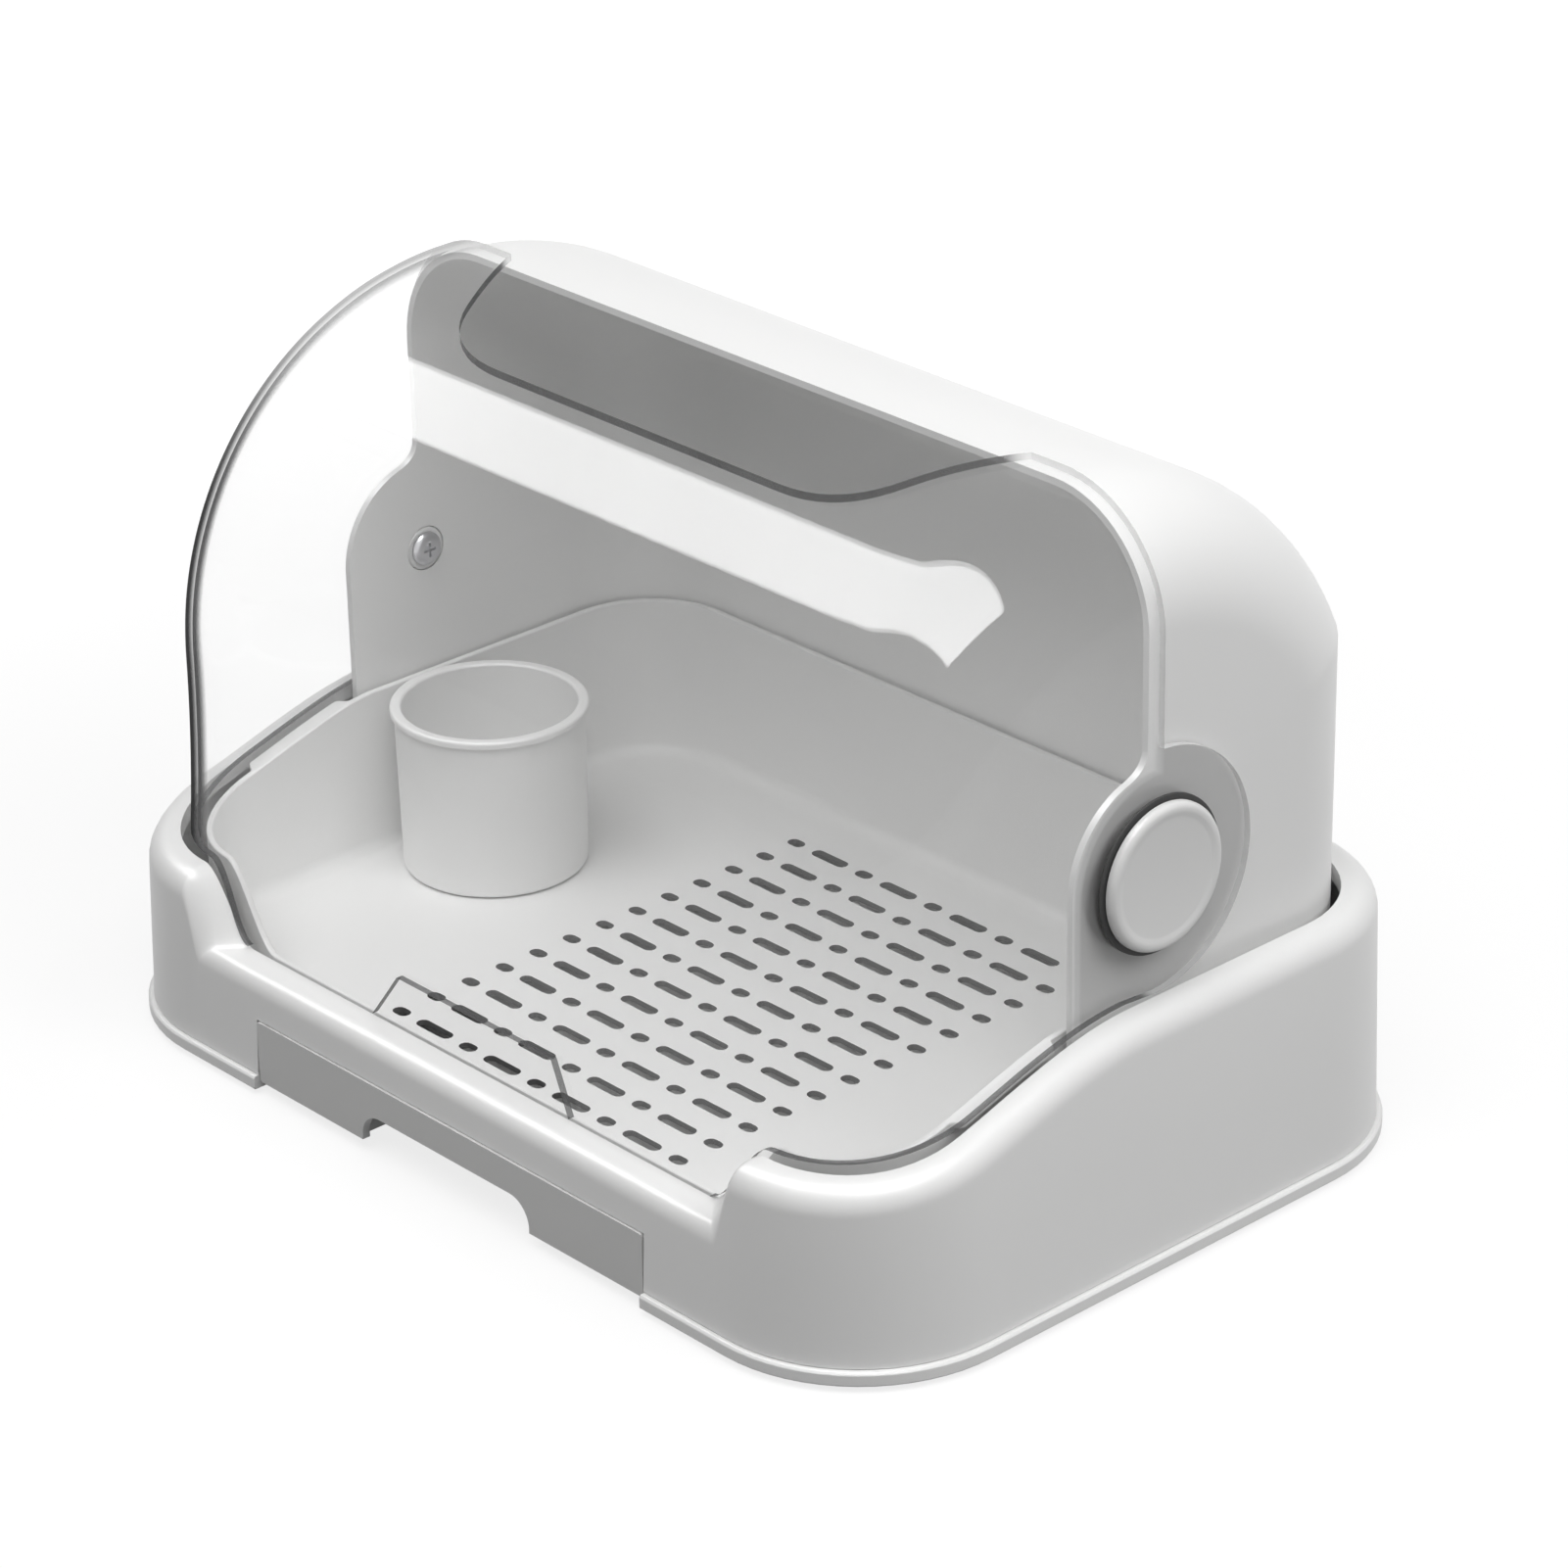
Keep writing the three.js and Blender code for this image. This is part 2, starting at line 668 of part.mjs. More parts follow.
// What lies above a line that rises along the sides, as a side outline drawn across the part.
function aboveSideLine(height, halfWidth) {
  const reach = baseHalfDepth + cutOverrun;
  const top = pivotZ + visorRadius;
  const line = riseLine(height);
  return prismX(polygon([
    [-reach, height(-reach)], ...line, [reach, height(reach)], [reach, top], [-reach, top],
  ]), -halfWidth, halfWidth);
}

// A shallow dip across the front, with an S-curve at each end, as a front outline.
function frontDip(bottom, top, start, stop, rear) {
  const right = Array.from({ length: riseSteps + 1 }, (_, i) => {
    const x = THREE.MathUtils.lerp(start, stop, i / riseSteps);
    return [x, THREE.MathUtils.lerp(bottom, top, smooth(x, start, stop))];
  });
  const left = right.slice().reverse().map(([x, z]) => [-x, z]);
  const ceiling = rimBackHeight;
  return prismY(polygon([...left, ...right, [stop, ceiling], [-stop, ceiling]]), -baseHalfDepth, rear);
}

function slotShape(x, y, length) {
  const radius = half(slotWidth);
  const reach = half(length) - radius;
  const shape = new THREE.Shape();
  const quarter = half(Math.PI);
  shape.absarc(x + reach, y, radius, -quarter, quarter, false);
  shape.absarc(x - reach, y, radius, quarter, 3 * quarter, false);
  return shape;
}

const slotShapes = [];
for (let row = 0; row < slotRows; row += 1) {
  const y = slotFieldCentreY + (half(slotRows - 1) - row) * slotPitchY;
  for (let column = 0; column < slotColumns; column += 1) {
    const x = (column - half(slotColumns - 1)) * slotPitchX;
    slotShapes.push(slotShape(x, y, column % 2 ? slotLong : slotShort));
  }
}

function drainTray() {
  const outer = prismZ(planShape(trayPlan), trayBottom, rimBackHeight);
  const inner = prismZ(planShape(inset(trayPlan, trayWall)), trayFloorTop, rimBackHeight + cutOverrun);
  const frontTop = ledgeHeight - trayFrontDrop;
  const above = aboveSideLine(traySide, baseHalfWidth);
  const dip = frontDip(frontTop, rimFrontHeight - trayRimBelowBase, ledgeRiseStart, ledgeRiseStop,
    trayFront + trayCornerRadius);
  const tub = cut(outer, inner, above, dip);
  const over = rimBackHeight + cutOverrun;
  const flangePlan = planShape(inset(trayPlan, -trayFlangeReach));
  const flangeBlank = cut(
    prismZ(flangePlan, trayFloorTop, rimBackHeight),
    prismZ(planShape(inset(trayPlan, half(trayWall))), 0, over),
    above,
    boxBetween([-baseHalfWidth, trayFlangeRear, 0], [baseHalfWidth, baseHalfDepth, over]),
    boxBetween([-baseHalfWidth, -baseHalfDepth, 0], [baseHalfWidth, trayFlangeFront, over]));
  const flangeFloor = (y) => traySide(y) - trayFlangeThickness;
  const flange = flangeBlank.intersect(aboveSideLine(flangeFloor, baseHalfWidth));
  const slots = prismZ(slotShapes, trayBottom - cutOverrun, trayFloorTop + cutOverrun, slotEndSteps);
  return cut(join(tub, flange), slots);
}

// Cup with a rolled rim and drain holes
function drainCup() {
  const bottom = trayFloorTop + seatGap;
  const top = bottom + cupHeight;
  const mouth = cupTopRadius - cupWall - half(cupRimInset);
  const profile = [
    [0, bottom],
    [cupBottomRadius - cupWall, bottom],
    [cupBottomRadius, bottom + cupWall],
    [cupTopRadius, top - cupRimHeight],
    [cupRimRadius, top - cupRimHeight],
    [cupRimRadius, top - half(cupRimHeight)],
    [cupRimRadius - half(cupRimInset), top],
    [mouth + half(cupRimInset), top],
    [mouth, top - half(cupRimHeight)],
    [cupBottomRadius - cupWall, bottom + cupWall],
    [0, bottom + cupWall],
  ].map(([radius, z]) => new THREE.Vector2(radius, z));
  const body = new THREE.LatheGeometry(profile, roundSteps);
  body.rotateX(half(Math.PI));
  body.translate(cupX, cupY, 0);
  const holes = Array.from({ length: cupHoleCount }, (_, i) => {
    const angle = 2 * Math.PI * (i / cupHoleCount);
    const [x, y] = [cupX + cupHoleRing * Math.cos(angle), cupY + cupHoleRing * Math.sin(angle)];
    return cylinderZ(cupHoleRadius, bottom - cutOverrun, bottom + cupWall + cutOverrun, x, y);
  });
  const centre = cylinderZ(cupHoleRadius, bottom - cutOverrun, bottom + cupWall + cutOverrun, cupX, cupY);
  return cut(toSolid(body), centre, ...holes);
}

// The covers are a drum about the pivot axis, with round shoulders, over upright walls.
function drum(halfWidth, radius, shoulder) {
  const right = quarterArc(shoulderSteps).map((angle) => [
    halfWidth - shoulder * (1 - Math.sin(angle)), radius - shoulder * (1 - Math.cos(angle)),
  ]);
  const left = right.slice().reverse().map(([x, r]) => [-x, r]);
  const profile = [[-halfWidth, 0], ...left, ...right, [halfWidth, 0]];
  const geometry = new THREE.LatheGeometry(profile.map(([x, r]) => new THREE.Vector2(r, x)), drumSteps);
  geometry.rotateZ(-half(Math.PI));
  geometry.translate(0, pivotY, pivotZ);
  return toSolid(geometry);
}

// The visor's upright lower wall, whose front flares forward towards its bottom edge.
function visorSkirt(plan, bottom) {
  const geometry = new THREE.ExtrudeGeometry(planShape(plan), {
    depth: pivotZ - bottom, steps: flareSteps, bevelEnabled: false, curveSegments: shoulderSteps,
  });
  geometry.translate(0, 0, bottom);
  const position = geometry.attributes.position;
  for (let i = 0; i < position.count; i += 1) {
    const downShare = (pivotZ - position.getZ(i)) / (pivotZ - visorFrontBottom);
    const frontShare = (plan.front + plan.frontRadius - position.getY(i)) / plan.frontRadius;
    const flare = visorFrontFlare * Math.max(0, frontShare) * downShare ** 2;
    position.setY(i, position.getY(i) - flare);
  }
  return toSolid(geometry);
}

function visorBlank(by) {
  const plan = {
    halfWidth: visorHalfWidth - by,
    front: pivotY - visorRadius + by,
    rear: pivotY + visorArmRadius + cutOverrun,
    frontRadius: visorShoulder - by,
    rearRadius: half(cutOverrun),
  };
  return join(
    drum(visorHalfWidth - by, visorRadius - by, visorShoulder - by),
    visorSkirt(plan, by > 0 ? visorFrontBottom - cutOverrun : visorFrontBottom));
}

// The bottom edge of the visor's side, which follows the rim of the base.
const visorSideLine = (y) => rimSideHeight(y) + visorSideLift;

// What the visor keeps, seen from the side: all in front of its rear edge, and the round arm.
function visorSideKeep() {
  const front = -baseHalfDepth;
  const top = pivotZ + visorRadius + cutOverrun;
  const armStart = Math.asin((visorRearEdge - pivotY) / visorArmRadius);
  const shape = new THREE.Shape();
  shape.moveTo(front, visorSideLine(front));
  riseLine(visorSideLine).forEach(([y, z]) => shape.lineTo(y, z));
  shape.lineTo(pivotY, pivotZ - visorArmRadius);
  shape.absarc(pivotY, pivotZ, visorArmRadius, -half(Math.PI), half(Math.PI) - armStart, false);
  shape.lineTo(visorRearEdge, top);
  shape.lineTo(front, top);
  return prismX(shape, -baseHalfWidth, baseHalfWidth, 2 * cornerSteps);
}

function visorFrontKeep() {
  const dip = frontDip(
    visorFrontBottom, visorSideLine(openingFront),
    ledgeRiseStop - visorRiseWidth, ledgeRiseStop,
    pivotY - visorRadius + visorShoulder);
  const notch = prismY(polygon([
    [-half(handNotchBottomWidth), visorFrontBottom - cutOverrun],
    [half(handNotchBottomWidth), visorFrontBottom - cutOverrun],
    [half(handNotchBottomWidth), visorFrontBottom],
    [half(handNotchTopWidth), visorFrontBottom + handNotchHeight],
    [-half(handNotchTopWidth), visorFrontBottom + handNotchHeight],
    [-half(handNotchBottomWidth), visorFrontBottom],
  ]), -baseHalfDepth, 0);
  return cut(dip, notch);
}

function ventShape() {
  const right = [
    [visorHalfWidth - ventFrontSideMargin, visorRearEdge - ventFrontReach],
    [visorHalfWidth - ventInnerSideMargin, visorRearEdge - ventInnerReach],
    [visorHalfWidth - ventMidSideMargin, visorRearEdge - ventMidReach],
    [visorHalfWidth - ventRearSideMargin, visorRearEdge + seatGap],
    [visorHalfWidth - ventRearSideMargin, visorRearEdge + cutOverrun],
  ];
  return polygon([...right, ...right.slice().reverse().map(([x, y]) => [-x, y])]);
}

function visor() {
  const shell = cut(visorBlank(0), visorBlank(visorThickness));
  const keep = join(visorSideKeep(), visorFrontKeep());
  const vent = prismZ(ventShape(), pivotZ + half(visorRadius), pivotZ + visorRadius + cutOverrun);
  const bore = cylinderX(pivotBoreRadius, -baseHalfWidth, baseHalfWidth);
  return cut(shell.intersect(keep), vent, bore);
}

function hoodBlank(by) {
  const plan = {
    halfWidth: hoodHalfWidth - by,
    front: pivotY - hoodRadius,
    rear: hoodRear - by,
    frontRadius: hoodShoulder,
    rearRadius: hoodRearCornerRadius - by,
  };
  const bottom = by > 0 ? hoodBottom - cutOverrun : hoodBottom;
  const bounds = prismZ(planShape(plan), bottom, pivotZ + hoodRadius);
  const walls = prismZ(planShape(plan), bottom, pivotZ);
  return join(drum(hoodHalfWidth - by, hoodRadius - by, hoodShoulder - by), walls).intersect(bounds);
}

// What the hood keeps, seen from the side: its upright front edge and the round ears below it.
function hoodSideKeep() {
  const back = hoodRear + cutOverrun;
  const top = pivotZ + hoodRadius + cutOverrun;
  const earFront = pivotY - hoodEarRadius;
  const meet = Math.asin(hoodEarMeetHeight / hoodEarRadius);
  const shape = new THREE.Shape();
  shape.moveTo(earFront, 0);
  shape.lineTo(back, 0);
  shape.lineTo(back, top);
  shape.lineTo(hoodFrontEdge, top);
  shape.lineTo(hoodFrontEdge, pivotZ + hoodEarCurveTop);
  const corner = [pivotY - hoodEarRadius * Math.cos(meet), pivotZ + hoodEarMeetHeight];
  shape.quadraticCurveTo(hoodFrontEdge, corner[1] + hoodEarCurveHeight, corner[0], corner[1]);
  shape.absarc(pivotY, pivotZ, hoodEarRadius, Math.PI - meet, Math.PI, false);
  return prismX(shape, -baseHalfWidth, baseHalfWidth);
}

// A snap tab under the hood's wall, which passes the shelf and hooks under it.
function hoodTab(side, y) {
  const bottom = hoodBottom - shelfThickness - hoodTabDrop;
  const hookTop = shelfBottom - seatGap;
  const wallMid = hoodHalfWidth - half(hoodThickness);
  const box = (near, far, z0, z1) => boxBetween(
    [Math.min(side * near, side * far), y - half(hoodTabWidth), z0],
    [Math.max(side * near, side * far), y + half(hoodTabWidth), z1]);
  return join(
    box(hoodTabInner, hoodHalfWidth, bottom, hoodBottom + hoodThickness),
    box(wallMid, hoodTabOuter, bottom, hookTop));
}

function hoodShell() {
  const shell = cut(hoodBlank(0), hoodBlank(hoodThickness)).intersect(hoodSideKeep());
  const bore = cylinderX(pivotBoreRadius, -baseHalfWidth, baseHalfWidth);
  const tabs = hoodTabPlaces.flatMap((y) => [hoodTab(-1, y), hoodTab(1, y)]);
  return cut(join(shell, ...tabs), bore);
}

// Pivot hardware for the right side; the left side is its mirror image.
function pivotWasher() {
  return cut(
    cylinderX(washerRadius, washerInner, washerInner + washerThickness),
    cylinderX(pivotBoreRadius, washerInner - cutOverrun, washerInner + cutOverrun));
}

function pivotKnob() {
  const bossInner = hoodTabInner;
  const profile = [
    [0, knobInner + knobThickness],
    [knobRadius - knobChamfer, knobInner + knobThickness],
    [knobRadius, knobInner + knobThickness - knobChamfer],
    [knobRadius, knobInner],
    [pivotBossRadius, knobInner],
    [pivotBossRadius, bossInner],
    [pivotScrewShankRadius + seatGap, bossInner],
    [pivotScrewShankRadius + seatGap, knobInner + half(knobThickness)],
    [0, knobInner + half(knobThickness)],
  ].map(([radius, x]) => new THREE.Vector2(radius, -x));
  const geometry = new THREE.LatheGeometry(profile, roundSteps);
  geometry.rotateZ(half(Math.PI));
  geometry.translate(0, pivotY, pivotZ);
  return toSolid(geometry);
}

function pivotScrew() {
  const headOuter = hoodTabInner - seatGap;
  const headInner = headOuter - pivotScrewHeadHeight;
  const head = cylinderX(
    pivotScrewHeadRadius - pivotScrewHeadTaper, headInner, headOuter, smallRoundSteps, pivotScrewHeadRadius);
  const shank = cylinderX(pivotScrewShankRadius, headOuter - seatGap, knobInner + seatGap, smallRoundSteps);
  const recess = cylinderX(
    pivotScrewRecessRadius, headInner - cutOverrun, headInner + pivotScrewRecessDepth, recessSteps);
  return cut(join(head, shank), recess);
}

// The assembly
const rack = new THREE.Group();
function addPiece(name, solid, material) {
  const mesh = new THREE.Mesh(toGeometry(solid), material);
  mesh.name = name;
  rack.add(mesh);
}

addPiece('base_housing', baseHousing(), materials.shell());
addPiece('shelf_frame', shelfFrame(), materials.shell());
addPiece('bottom_plate', bottomPlate(), materials.shell());
footPlaces.forEach(([name, x, y]) => addPiece(`foot_${name}`, rubberFoot(x, y), materials.rubber()));
plateScrewPlaces.forEach(([x, y], i) => {
  addPiece(`plate_screw_${i + 1}`, plateScrew(x, y), materials.steel());
});
addPiece('drip_drawer', dripDrawer(), materials.drawer());
addPiece('drain_tray', drainTray(), materials.inner());
addPiece('drain_cup', drainCup(), materials.inner());
addPiece('hood_shell', hoodShell(), materials.shell());
addPiece('visor', visor(), materials.clear());
addPiece('pivot_washer_right', pivotWasher(), materials.rubber());
addPiece('pivot_washer_left', mirrorX(pivotWasher()), materials.rubber());
addPiece('pivot_knob_right', pivotKnob(), materials.knob());
addPiece('pivot_knob_left', mirrorX(pivotKnob()), materials.knob());
addPiece('pivot_screw_right', pivotScrew(), materials.steel());
addPiece('pivot_screw_left', mirrorX(pivotScrew()), materials.steel());

export default rack;
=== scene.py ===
from math import asin, cos, degrees, pi, radians, sin

import bmesh
import bpy
from mathutils import Matrix, Vector


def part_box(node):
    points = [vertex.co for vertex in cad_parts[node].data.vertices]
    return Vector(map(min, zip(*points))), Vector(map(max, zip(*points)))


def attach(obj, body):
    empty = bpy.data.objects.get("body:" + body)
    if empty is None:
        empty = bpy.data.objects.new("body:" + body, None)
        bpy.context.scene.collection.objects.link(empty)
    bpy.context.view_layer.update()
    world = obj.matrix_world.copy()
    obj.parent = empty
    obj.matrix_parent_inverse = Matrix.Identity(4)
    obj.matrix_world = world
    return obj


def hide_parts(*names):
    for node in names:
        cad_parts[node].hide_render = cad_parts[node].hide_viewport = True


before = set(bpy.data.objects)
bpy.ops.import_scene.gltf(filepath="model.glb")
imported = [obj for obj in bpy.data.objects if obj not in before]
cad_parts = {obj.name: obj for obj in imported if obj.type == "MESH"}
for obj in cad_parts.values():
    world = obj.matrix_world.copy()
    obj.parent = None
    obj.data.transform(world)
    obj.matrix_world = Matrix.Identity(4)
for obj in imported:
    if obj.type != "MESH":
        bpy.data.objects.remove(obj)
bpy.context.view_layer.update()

bl_info = {
    "name": "Bottle drying rack",
    "version": (1, 0, 0),
    "blender": (4, 5, 0),
    "location": "3D View > Sidebar > Rack",
    "description": "A covered drying rack for feeding bottles, piece by piece",
    "category": "Add Mesh",
}

# Meshes are worked out in millimetres and brought to metres when a piece is finished.
MM = 0.001


def corners(node):
    """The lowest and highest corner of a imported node, in millimetres."""
    return [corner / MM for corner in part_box(node)]


housing_low, housing_high = corners("base_housing")
plate_low, plate_high = corners("bottom_plate")
shelf_high = corners("shelf_frame")[1]
drawer_low, drawer_high = corners("drip_drawer")
tray_low, tray_high = corners("drain_tray")
cup_low, cup_high = corners("drain_cup")
hood_high = corners("hood_shell")[1]
visor_low, visor_high = corners("visor")
washer_low, washer_high = corners("pivot_washer_right")
knob_low, knob_high = corners("pivot_knob_right")
pivot_screw_low, pivot_screw_high = corners("pivot_screw_right")

# A cutter reaches this far past what it cuts.
PAST = 5

# Points nearer than this are one, as made and after a cut, and edges shorter than a sliver go.
SAME = 0.0005
SAME_AFTER_CUT = 0.01
SLIVER = 0.0002

# Steps of a full turn
TURN = {"cover": 192, "cup": 128, "knob": 128, "washer": 96, "foot": 64, "bore": 64, "pivot_screw": 48, "screw": 32,
        "hole": 32}

# Base housing
BASE_RADIUS = 55
BASE = {"half": housing_high.x, "front": housing_low.y, "rear": housing_high.y, "radius": BASE_RADIUS}
WALL = 2.6
WALL_DRAFT = 1.7
RIM_FRONT = 66
LEDGE = 42
RIM_ROUND = (8.5, 9)
LEDGE_ROUND = (6.5, 6.5)
RIM_SKIN = 2.4
RIM_LIP = 6
RIM_RISE = (-118, -5)
LEDGE_RISE = (113, 137)
LEDGE_RISE_OUTSIDE = (128, 135)
OPENING = {"half": 178, "front": -117.5, "rear": 116, "radius": 41}
RIB = {"root": 1.6, "reach": 7.5, "low": 18.9, "high": 21.3}

# Bottom plate
LIP_REACH = 2
LIP_WIDTH = 5.4
PLATE_TOP = 5
LIP_TOP = 7
LIP_EDGES = (0.6, 0.8)
RAIL = {"inner": 91.6, "outer": 93.6, "front": -112.6, "rear": 98.6, "root": 3.5}
PLATE_NOTCH_REAR = -113.2
FOOT_HOLE = 3.3
SCREW_HOLE = {"shank": 1.8, "head": 3.5, "sunk": 1.9}

# Rubber feet, as radii and heights
FOOT = {"pad": 1.7, "groove": (5, 5.4, 7, 7.4), "groove_depth": 0.25, "edge": ((0, 8.6), (0.15, 9)),
        "shoulder": (8.35, 7.9), "shoulder_share": 0.8, "stem": 3, "barb": 4.2, "barb_gap": 0.3}

# Screws below the plate. The crown is (height above the low end, radius), the thread (along one turn, radius).
PLATE_SCREW = {"crown": ((0, 0), (0, 1.6), (0.2, 2.6), (0.7, 3.15), (1.3, 3.2), (1.3, 1.5)),
               "thread": ((0.35, 1.5), (0.55, 1.1), (0.95, 1.1), (1.15, 1.5)), "bare": 2.4,
               "tip": ((0.8, 1.1), (0, 0.2), (0, 0)), "recess": 0.8, "cross": (1.5, 0.3)}

# Drip drawer
DRAWER_FRONT = 3
DRAWER_SHARPER = 0.8
DRAWER_BITE = 1.5
DRAWER_CORNER = 1.2
DRAWER_HALF = 91
DRAWER_FLOOR = 5.3
DRAWER_TOP = 20.9
DRAWER_WALL = 1.8
ARCH = {"half": 41.5, "top": 15.4, "radius": 9}
POCKET_DEPTH = 15
MOUTH = {"half": 96.1, "top": 27.4, "rear": -127.6}

# Drain tray
TRAY = {"half": 170, "front": -109.5, "rear": 110.6, "radius": 34.4}
TRAY_WALL = 2.2
TRAY_FLOOR = 2.2
TRAY_BELOW_RIM = 1
TRAY_FRONT_DROP = 5.5
TRAY_FILLET = 5
TRAY_ROUND = 3
TRAY_RIM_EDGES = (0.4, 0.5)
FLAT_RING = 1.5
FLANGE = {"reach": 4, "thick": 2, "front": -73, "rear": -29.8, "run": 3}
SLOT_PITCH = (17.1, 14.7)
SLOT_ROWS = 13
SLOT_COLUMNS = 9
SLOT_WIDTH = 4.6
SLOT_LENGTHS = (7, 16.4)
SLOT_FIELD_Y = -3.8

# Cup
CUP = {"bottom": 32, "top": 32.9, "rim": 34.3, "wall": 2, "draft": 0.7, "flat_edge": 4, "foot_round": 2,
       "fillet": 3, "rim_high": 2.6, "rim_edge": (0.3, 0.4)}
CUP_HOLES = {"radius": 3, "ring": 18, "count": 6, "below": 3, "above": 6}

# Covers on the two pivots
PIVOT = Vector((0, 8.2, 130))
VISOR_RADIUS = 120
VISOR_SHOULDER = 43
VISOR_WALL = 2.4
VISOR_REAR = 10.4
VISOR_LIFT = 1.2
VISOR_FLARE = 7.5
VISOR_RISE = (114, 137)
ARM_RADIUS = 40.8
ARM_CORNER = 2.5
NOTCH = {"top": 38, "bottom": 48.5, "height": 16}
VENT = {"corner": (93.1, -42), "before": 27.1, "after": (102.6, -24), "rear": (121, 10.7)}
HOOD_WALL = 2.4
HOOD_RADIUS = 116.8
HOOD_SHOULDER = 39.8
HOOD_HALF = 173.8
HOOD_REAR_RADIUS = 38
HOOD_FRONT = 6.7
HOOD_FOOT = shelf_high.z + 0.3
EAR_RADIUS = 33
EAR_MEET = 31.8
EAR_CURVE = (2.6, 40)
TAB = {"half": 7, "low": 16.4, "hook": 175, "top": 21.3, "places": (-12, 62)}

# Pivot hardware. The knob's face is (depth below its top, distance in from its rim).
BORE = 8
BORE_DRILL = 200
WASHER = {"radius": 26, "edge": 0.25}
KNOB_RADIUS = 24.2
KNOB_INNER = 178.6
KNOB_EDGE = 0.3
KNOB_FACE = ((0.5, 5.2), (0.38, 4.4), (0.08, 3.4), (0, 2.8), (0, 1.9), (0.2, 1.2), (0.75, 0.5), (1.4, 0.12), (1.9, 0))
BOSS = {"radius": 7.7, "edge": 0.4, "hole": 2.3, "hole_end": 1.6}
PIVOT_SCREW = {"head": 6, "head_high": 2.2, "shank": 2, "crown": ((0, 2.6), (0.3, 1.3), (0.9, 0.4), (1.5, 0)),
               "tip": (1, 0.8), "recess": 1.2, "cross": (2.6, 0.5)}

FEET = ("foot_front_left", "foot_front_right", "foot_rear_left", "foot_rear_right")
PLATE_SCREWS = tuple(f"plate_screw_{i}" for i in range(1, 7))

# A piece with two finishes has the second one on the faces that were cut.
# The tray's second finish is painted shade on the walls inside its drain slots.
TRAY_FINISHES = ("white_tray", "slot_painted_shade")
SHEET_FINISHES = ("clear_sheet", "sheet_edge")
CUT_FACES = 1
BEVEL_STEPS = 2

# The clear sheet's shares of light, and the stretches over which they change, in millimetres. The rim, corner, flat
# side, roof and middle keys set the painted shade at its rims; the ear keys set the painted shade over the hood's ear,
# on the right side only.
SHEET = {"mirror": 0.032, "mirror_grazing": 0.2, "ear_painted_shade": 0.85, "rim": ((0.64, 0.0), (0.8, 0.9)),
         "corner": (110, 150), "flat_side": (3, 0.5), "flat_side_less": 0.75, "roof": (175, 240), "roof_less": 0.65,
         "middle": 0.2, "ear_edge": 1, "behind_ear": 3, "right_side": (6, 3), "to_lamps": 0.96}
# Painted shade on the cut edges of the clear sheet, and painted light where they lie on the hood at the back
SHEET_EDGE = {"dark": 0.7, "pale": 0.85, "pales": (2, 9), "clear": 0.9, "grey": 0.66, "streaks": 0.2, "paler": 0.25}

# Stage, in metres, with the floor's clear stretch in millimetres
FLOOR_HALF = 6
FLOOR_CLEARS = (330, 900)
STRIP_PANEL = {"place": (-0.72, -0.39, 1.73), "target": (-0.72, -0.39, 0), "size": (3.75, 0.72)}
TOP_PANEL = {"place": (0.3, -0.75, 2.0), "target": (0, 0, 0.1), "size": (2.4, 1.8)}
SIDE_PANEL = {"place": (1.7, 0.9, 1.9), "target": (0, 0, 0.1), "size": (1.8, 1.6)}
CAMERA = {"azimuth": 47.9, "elevation": 25.85, "roll": 1.13, "lens": 124.68, "sensor": 36, "clip": (0.05, 50),
          "centre": (0, 0, 0.102), "away": 1.76054, "right": 0.01286, "down": 0.00029}


def length(name, description, default, low, high, precision=4):
    return bpy.props.FloatProperty(name=name, description=description, default=default, min=low, max=high,
                                   unit="LENGTH", subtype="DISTANCE", precision=precision)


def colour(name, description, default):
    return bpy.props.FloatVectorProperty(name=name, description=description, default=default, size=3,
                                         min=0, max=1, subtype="COLOR")


def power(name, description, default):
    return bpy.props.FloatProperty(name=name, description=description, default=default, min=0, max=400, unit="POWER")


def factor(name, description, default, high=1):
    return bpy.props.FloatProperty(name=name, description=description, default=default, min=0, max=high,
                                   subtype="FACTOR")


class RackSizes(bpy.types.PropertyGroup):
    edge_round: length("Edge round", "Radius of the moulded outer edges", 0.0006, 0.0001, 0.002)
    sheet_edge_round: length("Sheet edge round", "Radius of the polished edges of the clear sheet",
                             0.0004, 0.0001, 0.001)
    slot_edge_round: length("Slot edge round", "Radius of the edges of the drain slots", 0.00015, 0.0001, 0.001)
    cup_rim_round: length("Cup rim round", "Radius of the rolled rim of the cup", 0.0011, 0.0002, 0.0013)
    grain: length("Mould grain", "Depth of the fine grain of the moulded plastic", 0.00003, 0.0, 0.0005, 5)


class RackColours(bpy.types.PropertyGroup):
    shell: colour("Shell", "White plastic of the base and the hood", (0.86, 0.86, 0.855))
    tray: colour("Tray", "White plastic of the drain tray and the cup", (0.86, 0.86, 0.855))
    drawer: colour("Drawer", "Light grey plastic of the drip drawer", (0.66, 0.66, 0.655))
    knob: colour("Knobs", "White plastic of the pivot knobs", (0.78, 0.78, 0.775))
    rubber: colour("Rubber", "Dark rubber of the feet and the washers", (0.05, 0.05, 0.05))
    # Painted shade: a dark colour on the walls inside the drain slots, where shade falls.
    slot_painted_shade: colour("Slot walls", "Shaded plastic of the walls inside the drain slots", (0.13, 0.13, 0.129))
    steel: colour("Steel", "Plated steel of the screws", (0.6, 0.6, 0.62))
    # Painted shade: this grey is put on the edges and rims of the clear sheet as their shade.
    sheet_edge: colour("Sheet edge", "Grey that gathers in the edges of the clear sheet", (0.07, 0.07, 0.072))


